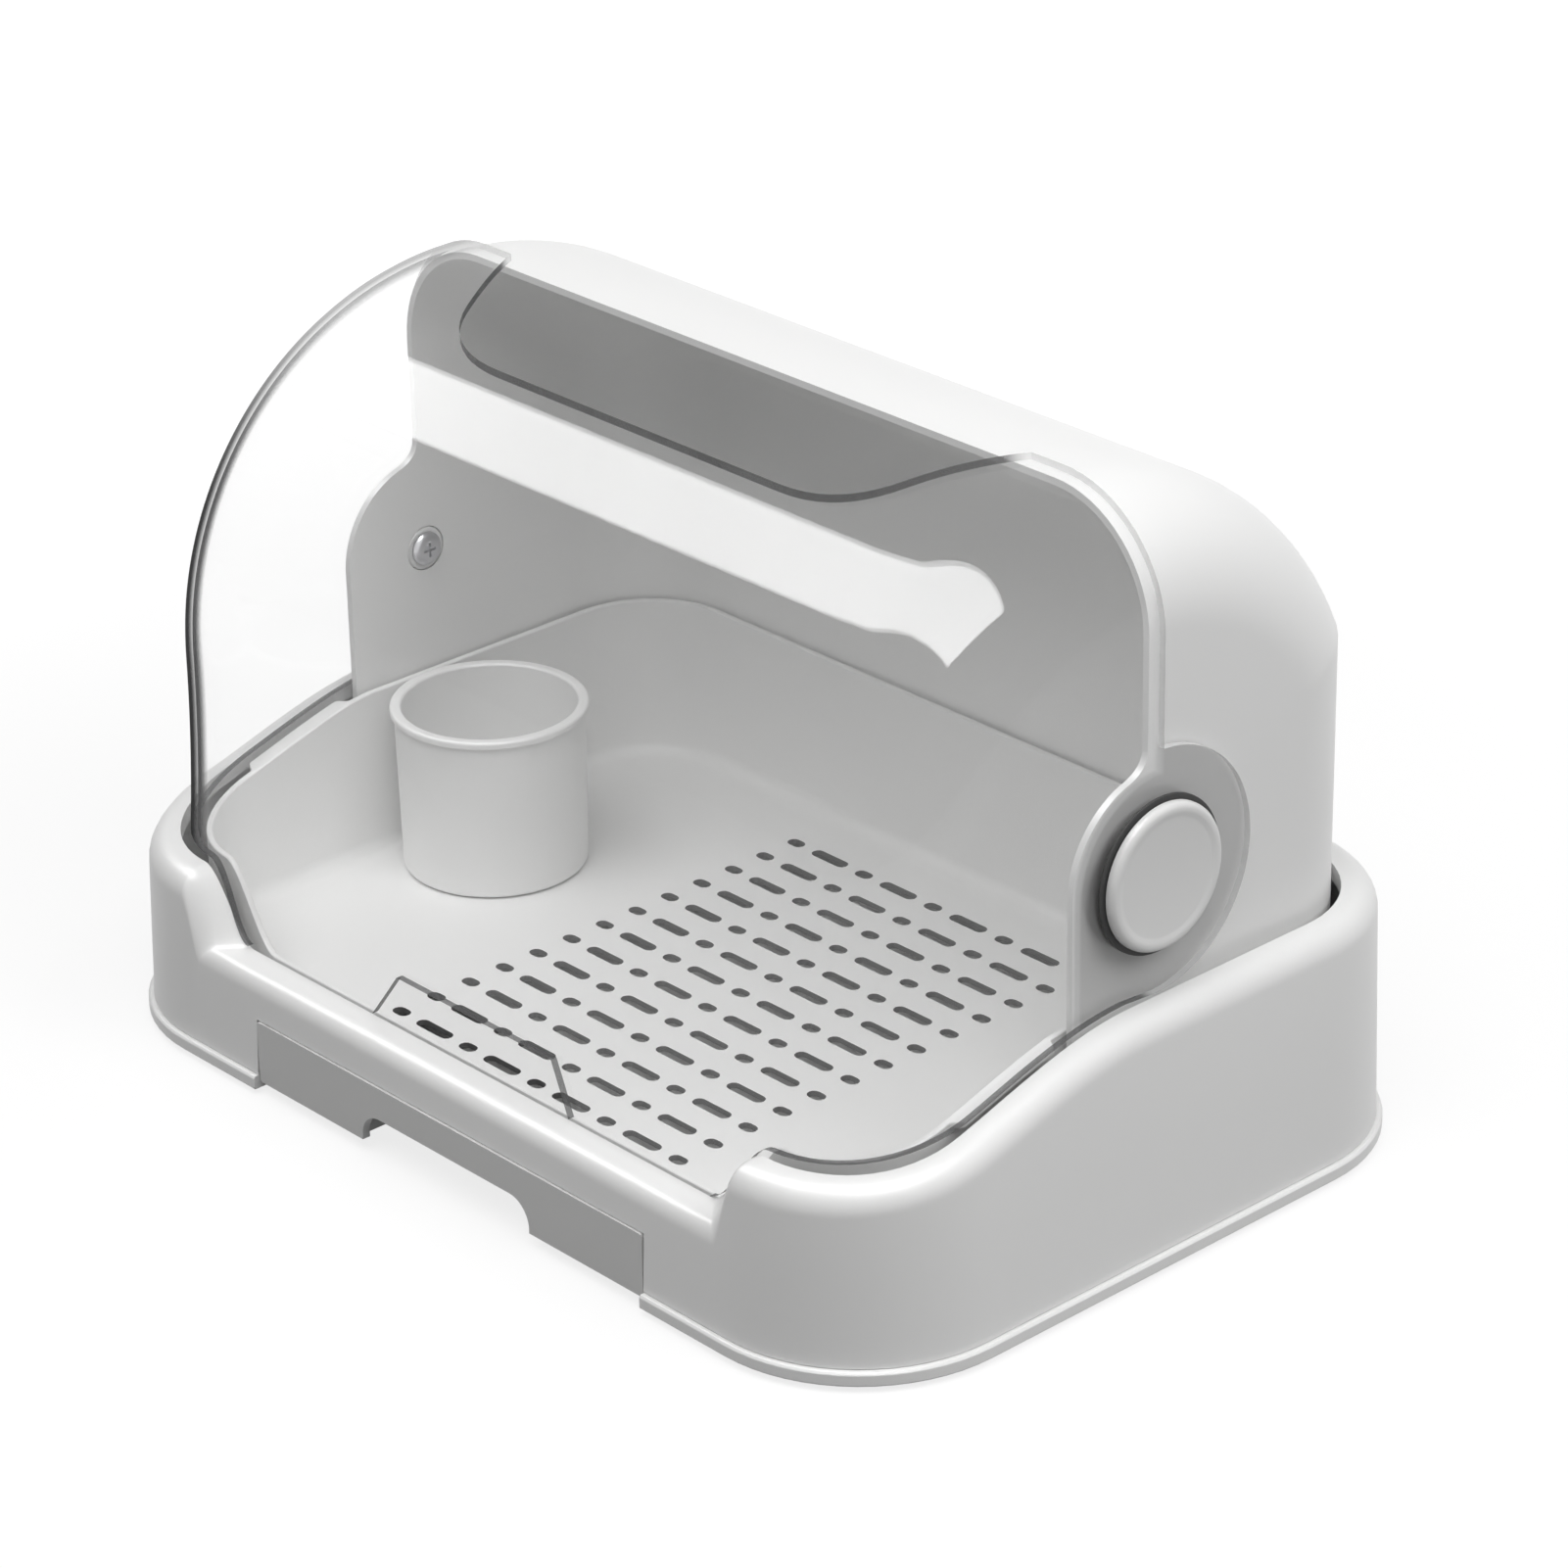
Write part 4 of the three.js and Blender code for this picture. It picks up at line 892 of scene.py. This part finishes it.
def drawer_mesh():
    face, back = drawer_low.y, drawer_low.y + DRAWER_FRONT
    side, wall, floor = DRAWER_HALF, DRAWER_WALL, DRAWER_FLOOR + DRAWER_WALL
    pocket_side, pocket_back = ARCH["half"] + wall, back + POCKET_DEPTH
    body = block((-side, back - DRAWER_BITE, DRAWER_FLOOR), (side, drawer_high.y, DRAWER_TOP))
    over = DRAWER_TOP + PAST
    tub = block((-side + wall, pocket_back + wall, floor), (side - wall, drawer_high.y - wall, over))
    steps = [("DIFFERENCE", tub)]
    for hand in (-1, 1):
        near, far = span(hand, pocket_side + wall, side - wall)
        steps.append(("DIFFERENCE", block((near, back, floor), (far, pocket_back + 2 * wall, over))))
    steps.append(("DIFFERENCE", block((-pocket_side, back - PAST, 0), (pocket_side, pocket_back, DRAWER_TOP - wall))))
    panel = block((drawer_low.x, face, drawer_low.z), (drawer_high.x, back, drawer_high.z))
    through = [edge for edge in panel.edges if (edge.verts[0].co - edge.verts[1].co).xz.length < SAME_AFTER_CUT]
    bmesh.ops.bevel(panel, geom=through, offset=DRAWER_CORNER, offset_type="OFFSET", segments=4, profile=0.5,
                    affect="EDGES", material=-1)
    steps.append(("UNION", panel))
    half, top, radius = pick(ARCH, "half top radius")
    outline = [(-half, -PAST), (half, -PAST), *arc((half - radius, top - radius), radius, 0, 90, 12),
               *arc((-half + radius, top - radius), radius, 90, 180, 12)]
    steps.append(("DIFFERENCE", prism(outline, face - PAST, back + POCKET_DEPTH / 2, "Y")))
    return carved(body, *steps)


def tray_top(at):
    side = min(rim_height(at.y) - TRAY_BELOW_RIM, tray_high.z)
    share = 1 if at.y > TRAY["front"] + TRAY["radius"] else off_ledge(at)
    return mix(LEDGE - TRAY_FRONT_DROP, side, share)


def flange_reach(at):
    """How far the tray's rim stands out: only at its sides, where the hands take it."""
    if abs(at.x) < TRAY["half"] - 1:
        return 0
    front, rear, run = pick(FLANGE, "front rear run")
    return FLANGE["reach"] * smoothstep(at.y, front, front + run) * (1 - smoothstep(at.y, rear - run, rear))


def tray_section(at):
    """The tray's wall at a point of its outline, as distances inwards and heights."""
    top, low, reach, under = tray_top(at), tray_low.z, flange_reach(at), tray_top(at) - FLANGE["thick"]
    outer, inner = TRAY_RIM_EDGES
    foot, fillet, floor = TRAY_ROUND, TRAY_FILLET, low + TRAY_FLOOR
    return [(foot + FLAT_RING, low), *arc((foot, low + foot), foot, 270, 180, 4),
            (0, under), (-reach, under), (-reach, top - outer), (outer - reach, top),
            (TRAY_WALL - inner, top), (TRAY_WALL, top - inner),
            *arc((TRAY_WALL + fillet, floor + fillet), fillet, 180, 270, 6), (TRAY_WALL + fillet + FLAT_RING, floor)]


def slot_mesh(x, y, length):
    radius = SLOT_WIDTH / 2
    reach = length / 2 - radius
    outline = [*arc((x + reach, y), radius, -90, 90, 6), *arc((x - reach, y), radius, 90, 270, 6)]
    return cutting(prism(outline, tray_low.z - PAST, tray_low.z + TRAY_FLOOR + PAST, "Z"))


def tray_mesh():
    front, rear, run = pick(FLANGE, "front rear run")
    sides = runs(TRAY["front"] + TRAY["radius"], (front, 2), (front + run, 4), (rear - run, 12), (rear, 4),
                 (TRAY["rear"] - TRAY["radius"], 12))
    outline = rounded_outline(TRAY, ledge_marks(TRAY, LEDGE_RISE), sides)
    rows = zip(*[[(*offset_point(i, outline, distance), z) for distance, z in tray_section(at)]
                 for i, at in enumerate(outline)])
    slots = []
    for row in range(SLOT_ROWS):
        y = SLOT_FIELD_Y + ((SLOT_ROWS - 1) / 2 - row) * SLOT_PITCH[1]
        for column in range(SLOT_COLUMNS):
            x = (column - (SLOT_COLUMNS - 1) / 2) * SLOT_PITCH[0]
            slots.append(slot_mesh(x, y, SLOT_LENGTHS[column % 2]))
    return carved(swept(list(rows), closed=False), ("DIFFERENCE", joined(*slots)), finishes=TRAY_FINISHES)


def cup_mesh():
    centre = middle_of("drain_cup")
    low, high, under = cup_low.z, cup_high.z, cup_high.z - CUP["rim_high"]
    bottom, top, rim, wall, foot, fillet = pick(CUP, "bottom top rim wall foot_round fillet")
    soft = bpy.context.scene.rack_sizes.cup_rim_round / MM
    inner = top - wall - CUP["draft"]
    up, out = CUP["rim_edge"]
    profile = [(low, 0), (low, bottom - CUP["flat_edge"]), *arc((low + foot, bottom - foot), foot, 180, 90, 6),
               (under, top), (under, rim - out), (under + up, rim),
               *arc((high - soft, rim - soft), soft, 90, 0, 6), *arc((high - soft, inner + soft), soft, 0, -90, 6),
               *arc((low + wall + fillet, bottom - wall - fillet), fillet, 90, 180, 6), (low + wall, 0)]
    cup = turned(profile, "Z", centre, TURN["cup"])
    radius, ring, count = pick(CUP_HOLES, "radius ring count")
    places = [Vector((0, 0, 0))] + [Vector((cos(a), sin(a), 0)) * ring
                                    for a in (2 * pi * i / count for i in range(count))]
    drills = [rod(low - CUP_HOLES["below"], low + CUP_HOLES["above"], radius, "Z", centre + p) for p in places]
    return carved(cup, ("DIFFERENCE", joined(*drills)))


def drum(half, radius, shoulder):
    """A drum about the pivots, with round shoulders."""
    right = arc((half - shoulder, radius - shoulder), shoulder, 90, 0, 16)
    left = [(-x, r) for x, r in reversed(right)]
    straight = [(x, radius) for x in marks(shoulder - half, half - shoulder, 16)[1:-1]]
    return turned([(-half, 0), *left, *straight, *right, (half, 0)], "X", PIVOT, TURN["cover"])


def bore_drill():
    return rod(-BORE_DRILL, BORE_DRILL, BORE, "X", PIVOT, TURN["bore"])


def visor_skirt(plan, bottom):
    """The visor's upright lower wall, whose front flares forward towards the bottom."""
    outline = rounded_outline(plan)
    rows = []
    for z in marks(PIVOT.z, bottom, 14):
        down = (PIVOT.z - z) / (PIVOT.z - visor_low.z)
        row = []
        for p in outline:
            ahead = max(0.0, (plan["front"] + plan["radius"] - p.y) / plan["radius"])
            row.append((p.x, p.y - VISOR_FLARE * ahead * down * abs(down), z))
        rows.append(row)
    return swept(rows, closed=False)


def visor_blank(by):
    plan = {"half": visor_high.x - by, "front": PIVOT.y - VISOR_RADIUS + by, "rear": PIVOT.y + ARM_RADIUS + PAST,
            "radius": VISOR_SHOULDER - by, "rear_radius": ARM_CORNER}
    bottom = visor_low.z - (PAST if by else 0)
    return drum(visor_high.x - by, VISOR_RADIUS - by, VISOR_SHOULDER - by), visor_skirt(plan, bottom)


def visor_mesh():
    front, top = BASE["front"], PIVOT.z + VISOR_RADIUS + PAST
    start = degrees(asin((VISOR_REAR - PIVOT.y) / ARM_RADIUS))
    side = [(y, rim_height(y) + VISOR_LIFT) for y in (front, *marks(*RIM_RISE, 40))]
    side += [(PIVOT.y, PIVOT.z - ARM_RADIUS), *arc((PIVOT.y, PIVOT.z), ARM_RADIUS, -90, 90 - start, 72)[1:],
             (VISOR_REAR, top), (front, top)]
    keep = cutting(prism(side, -BASE["half"], BASE["half"], "X"))
    low, high = visor_low.z, rim_height(OPENING["front"]) + VISOR_LIFT
    begin, end = VISOR_RISE
    rise = [(mix(begin, end, s), mix(low, high, smoothstep(s, 0, 1))) for s in marks(0, 1, 20)]
    dip = cutting(prism([*mirrored(rise), (end, housing_high.z), (-end, housing_high.z)],
                        front, PIVOT.y - VISOR_RADIUS + VISOR_SHOULDER, "Y"))
    wide, narrow = NOTCH["bottom"], NOTCH["top"]
    notch = [(-wide, low - PAST), (wide, low - PAST), (wide, low), (narrow, low + NOTCH["height"]),
             (-narrow, low + NOTCH["height"]), (-wide, low)]
    dip = carved(dip, ("DIFFERENCE", cutting(prism(notch, front - PAST, 0, "Y"))), finishes=SHEET_FINISHES)
    corner, rear = Vector(VENT["corner"]), VENT["rear"]
    vent = [tuple(p) for p in bent(corner - Vector((VENT["before"], 0)), corner, Vector(VENT["after"]), 10)]
    vent += [rear, (rear[0], VISOR_REAR + PAST)]
    vent = cutting(prism(mirrored(vent), PIVOT.z + VISOR_RADIUS / 2, top, "Z"))
    keep = carved(keep, ("UNION", dip), finishes=SHEET_FINISHES)
    outer, inner = visor_blank(0), visor_blank(VISOR_WALL)
    hollow = carved(inner[0], ("UNION", inner[1]), finishes=SHEET_FINISHES)
    return carved(outer[0], ("UNION", outer[1]), ("DIFFERENCE", hollow), ("INTERSECT", keep), ("DIFFERENCE", vent),
                  ("DIFFERENCE", cutting(bore_drill())), finishes=SHEET_FINISHES)


def hood_blank(by):
    plan = {"half": HOOD_HALF - by, "front": PIVOT.y - HOOD_RADIUS, "rear": hood_high.y - by,
            "radius": HOOD_SHOULDER, "rear_radius": HOOD_REAR_RADIUS - by}
    bottom = HOOD_FOOT - (PAST if by else 0)
    outline = [(p.x, p.y) for p in rounded_outline(plan)]
    bounds = prism(outline, bottom, PIVOT.z + HOOD_RADIUS, "Z")
    walls = prism(outline, bottom, PIVOT.z, "Z")
    return carved(drum(HOOD_HALF - by, HOOD_RADIUS - by, HOOD_SHOULDER - by), ("UNION", walls), ("INTERSECT", bounds))


def hood_mesh():
    back, top = hood_high.y + PAST, PIVOT.z + HOOD_RADIUS + PAST
    meet = asin(EAR_MEET / EAR_RADIUS)
    corner = Vector((PIVOT.y - EAR_RADIUS * cos(meet), PIVOT.z + EAR_MEET))
    start = Vector((HOOD_FRONT, PIVOT.z + EAR_CURVE[1]))
    bend = Vector((HOOD_FRONT, corner.y + EAR_CURVE[0]))
    curve = [tuple(p) for p in bent(start, bend, corner, 16)]
    ear = arc((PIVOT.y, PIVOT.z), EAR_RADIUS, 180 - degrees(meet), 180, 40)
    side = [(PIVOT.y - EAR_RADIUS, 0), (back, 0), (back, top), (HOOD_FRONT, top), *curve, *ear[1:]]
    steps = [("DIFFERENCE", hood_blank(HOOD_WALL)), ("INTERSECT", prism(side, -BASE["half"], BASE["half"], "X"))]
    for y in TAB["places"]:
        for hand in (-1, 1):
            for near, far, high in ((HOOD_HALF - HOOD_WALL, HOOD_HALF, HOOD_FOOT + HOOD_WALL),
                                    (HOOD_HALF - HOOD_WALL / 2, TAB["hook"], TAB["top"])):
                low_x, high_x = span(hand, near, far)
                steps.append(("UNION", block((low_x, y - TAB["half"], TAB["low"]), (high_x, y + TAB["half"], high))))
    steps.append(("DIFFERENCE", bore_drill()))
    return carved(hood_blank(0), *steps)


def handed(make, hand):
    """The right-hand mesh, or its mirror image."""
    bm = make()
    if hand < 0:
        bmesh.ops.scale(bm, vec=(-1, 1, 1), verts=bm.verts)
        bmesh.ops.reverse_faces(bm, faces=bm.faces)
    return bm


def washer_mesh():
    low, high, radius, edge = washer_low.x, washer_high.x, WASHER["radius"], WASHER["edge"]
    profile = [(low, BORE), (low, radius - edge), (low + edge, radius), (high - edge, radius), (high, radius - edge),
               (high, BORE), (low, BORE)]
    return turned(profile, "X", PIVOT, TURN["washer"])


def knob_mesh():
    outer, low, rim, boss = knob_high.x, knob_low.x, KNOB_RADIUS, BOSS["radius"]
    hole, hole_end = BOSS["hole"], KNOB_INNER + BOSS["hole_end"]
    profile = [(outer - KNOB_FACE[0][0], 0), *[(outer - down, rim - inside) for down, inside in KNOB_FACE],
               (KNOB_INNER + KNOB_EDGE, rim), (KNOB_INNER, rim - KNOB_EDGE), (KNOB_INNER, boss),
               (low + BOSS["edge"], boss), (low, boss - BOSS["edge"]), (low, hole), (hole_end, hole), (hole_end, 0)]
    return turned(profile, "X", PIVOT, TURN["knob"])


def pivot_screw_mesh():
    low, high = pivot_screw_low.x, pivot_screw_high.x
    head, shank, seat = PIVOT_SCREW["head"], PIVOT_SCREW["shank"], low + PIVOT_SCREW["head_high"]
    tip, point = PIVOT_SCREW["tip"]
    profile = [(low, 0), *[(low + down, head - inside) for down, inside in PIVOT_SCREW["crown"]],
               (seat, head), (seat, shank), (high - tip, shank), (high, shank - point), (high, 0)]
    steps = []
    for tall, wide in (PIVOT_SCREW["cross"], PIVOT_SCREW["cross"][::-1]):
        steps.append(("DIFFERENCE", block(PIVOT + Vector((low - 2, -wide, -tall)),
                                          PIVOT + Vector((low + PIVOT_SCREW["recess"], wide, tall)))))
    return carved(turned(profile, "X", PIVOT, TURN["pivot_screw"]), *steps)


# Operators


class MakeHousing(bpy.types.Operator):
    """The base's wall, with its rolled rim and low front ledge"""
    bl_idname = "rack.make_housing"
    bl_label = "Base housing"

    def execute(self, context):
        finished("housing", housing_mesh(), ["white_shell"], "base", ["base_housing"],
                 context.scene.rack_sizes.edge_round)
        return {"FINISHED"}


class MakeUnderside(bpy.types.Operator):
    """The bottom plate, the shelf frame, the rubber feet and the screws"""
    bl_idname = "rack.make_underside"
    bl_label = "Underside"

    def execute(self, context):
        soft = context.scene.rack_sizes.edge_round / 2
        finished("underside", plate_mesh(), ["white_shell"], "base", ["bottom_plate"], soft)
        dress_node("shelf_frame", "white_shell", soft)
        for name in FEET:
            finished(f"pad_{name}", foot_mesh(name), ["dark_rubber"], "base", [name], 0)
        for name in PLATE_SCREWS:
            finished(f"driven_{name}", plate_screw_mesh(name), ["plated_steel"], "base", [name],
                     0)
        return {"FINISHED"}


class MakeDrawer(bpy.types.Operator):
    """The drip drawer with its front panel and finger pocket"""
    bl_idname = "rack.make_drawer"
    bl_label = "Drip drawer"

    def execute(self, context):
        finished("drawer", drawer_mesh(), ["grey_drawer"], "drawer", ["drip_drawer"],
                 context.scene.rack_sizes.edge_round * DRAWER_SHARPER)
        return {"FINISHED"}


class MakeTray(bpy.types.Operator):
    """The drain tray with its long and short slots"""
    bl_idname = "rack.make_tray"
    bl_label = "Drain tray"

    def execute(self, context):
        finished("tray", tray_mesh(), TRAY_FINISHES, "tray", ["drain_tray"],
                 context.scene.rack_sizes.slot_edge_round, crease=40)
        return {"FINISHED"}


class MakeCup(bpy.types.Operator):
    """The cup for teats and rings"""
    bl_idname = "rack.make_cup"
    bl_label = "Cup"

    def execute(self, context):
        finished("cup", cup_mesh(), ["white_tray"], "cup", ["drain_cup"], 0, crease=40)
        return {"FINISHED"}


class MakeHood(bpy.types.Operator):
    """The fixed hood at the back, with its ears and snap tabs"""
    bl_idname = "rack.make_hood"
    bl_label = "Hood"

    def execute(self, context):
        finished("hood", hood_mesh(), ["white_shell"], "base", ["hood_shell"],
                 context.scene.rack_sizes.edge_round)
        return {"FINISHED"}


class MakeVisor(bpy.types.Operator):
    """The clear visor on its two pivots"""
    bl_idname = "rack.make_visor"
    bl_label = "Visor"

    def execute(self, context):
        finished("clear_visor", visor_mesh(), SHEET_FINISHES, "visor", ["visor"],
                 context.scene.rack_sizes.sheet_edge_round)
        return {"FINISHED"}


class MakePivots(bpy.types.Operator):
    """The knobs, washers and screws of the two pivots"""
    bl_idname = "rack.make_pivots"
    bl_label = "Pivots"

    def execute(self, context):
        for side, hand in (("right", 1), ("left", -1)):
            # The washers' dark rubber is partly the real rubber of a friction washer and partly painted shade for the
            # gap round each knob.
            finished(f"washer_{side}", handed(washer_mesh, hand), ["dark_rubber"], "base",
                     [f"pivot_washer_{side}"], 0)
            finished(f"knob_{side}", handed(knob_mesh, hand), ["white_knob"], "base",
                     [f"pivot_knob_{side}"], 0, crease=35)
            finished(f"axle_screw_{side}", handed(pivot_screw_mesh, hand), ["plated_steel"], "base",
                     [f"pivot_screw_{side}"], 0)
        return {"FINISHED"}


class MakeStage(bpy.types.Operator):
    """The pale floor, the lamps, the room light and the camera"""
    bl_idname = "rack.make_stage"
    bl_label = "Stage"

    def execute(self, context):
        scene, studio = context.scene, context.scene.rack_studio
        self.lay_floor(studio)
        scene.world = scene.world or bpy.data.worlds.new("room")
        graph = Graph(scene.world)
        level = seen(graph) * (1 - studio.room) + studio.room
        graph.surface(graph.add("Background", {"Color": grey(1.0), "Strength": level}))
        strip = self.hang("strip_panel", STRIP_PANEL, studio.strip)
        strip.visible_diffuse = False
        for lamp in (self.hang("top_panel", TOP_PANEL, studio.top), self.hang("side_panel", SIDE_PANEL, studio.side)):
            lamp.visible_glossy = False
        self.stand_camera(scene)
        scene.view_settings.view_transform = "Standard"
        return {"FINISHED"}

    def lay_floor(self, studio):
        bm = bmesh.new()
        bmesh.ops.create_grid(bm, x_segments=1, y_segments=1, size=FLOOR_HALF)
        floor = as_object("floor", bm)
        graph = Graph(bpy.data.materials.new("pale_floor"))
        matt = graph.add("BsdfDiffuse", {"Color": grey(studio.floor_tone)})
        away = graph.add("VectorMath", {0: graph.place()}, "Value", operation="LENGTH")
        level = graph.ease(away, *FLOOR_CLEARS) * (1 - studio.floor_glow) + studio.floor_glow
        glow = graph.add("Emission", {"Color": grey(1.0), "Strength": seen(graph) * level})
        floor.data.materials.append(graph.surface(graph.add("AddShader", {0: matt, 1: glow})))

    def hang(self, name, panel, power):
        data = bpy.data.lights.new(name, "AREA")
        data.shape, data.size, data.size_y, data.energy = "RECTANGLE", *panel["size"], power
        lamp = bpy.data.objects.new(name, data)
        bpy.context.scene.collection.objects.link(lamp)
        place = Vector(panel["place"])
        lamp.location = place
        lamp.rotation_euler = (Vector(panel["target"]) - place).to_track_quat("-Z", "Y").to_euler()
        return lamp

    def stand_camera(self, scene):
        azimuth, elevation, roll = map(radians, pick(CAMERA, "azimuth elevation roll"))
        back = Vector((sin(azimuth) * cos(elevation), -cos(azimuth) * cos(elevation),
                       sin(elevation)))
        right = Vector((cos(azimuth), sin(azimuth), 0))
        up = back.cross(right)
        across = right * cos(roll) - up * sin(roll)
        upward = right * sin(roll) + up * cos(roll)
        data = bpy.data.cameras.new("camera")
        data.sensor_width, data.lens = CAMERA["sensor"], CAMERA["lens"]
        data.clip_start, data.clip_end = CAMERA["clip"]
        scene.camera = bpy.data.objects.new("camera", data)
        scene.collection.objects.link(scene.camera)
        place = Vector(CAMERA["centre"]) + back * CAMERA["away"] + across * CAMERA["right"] - upward * CAMERA["down"]
        scene.camera.matrix_world = Matrix((
            (across.x, upward.x, back.x, place.x), (across.y, upward.y, back.y, place.y),
            (across.z, upward.z, back.z, place.z), (0, 0, 0, 1)))


class RackPanel(bpy.types.Panel):
    """The rack's sizes, colours and lamps, and a button for each piece"""
    bl_idname = "VIEW3D_PT_rack"
    bl_label = "Bottle drying rack"
    bl_space_type = "VIEW_3D"
    bl_region_type = "UI"
    bl_category = "Rack"

    def draw(self, context):
        for group in GROUPS:
            box = self.layout.box()
            values = getattr(context.scene, group)
            for key in values.__annotations__:
                box.prop(values, key)
        column = self.layout.column()
        for maker in MAKERS:
            column.operator(maker.bl_idname)


GROUPS = {"rack_sizes": RackSizes, "rack_colours": RackColours, "rack_studio": RackStudio}
MAKERS = (MakeStage, MakeHousing, MakeUnderside, MakeDrawer, MakeTray, MakeCup, MakeHood, MakeVisor, MakePivots)


def register():
    for cls in (*GROUPS.values(), *MAKERS, RackPanel):
        bpy.utils.register_class(cls)
    for name, cls in GROUPS.items():
        setattr(bpy.types.Scene, name, bpy.props.PointerProperty(type=cls))


def unregister():
    for name in GROUPS:
        delattr(bpy.types.Scene, name)
    for cls in reversed((*GROUPS.values(), *MAKERS, RackPanel)):
        bpy.utils.unregister_class(cls)


def main():
    register()
    for maker in MAKERS:
        group, call = maker.bl_idname.split(".")
        getattr(getattr(bpy.ops, group), call)()


if __name__ == "__main__":
    main()
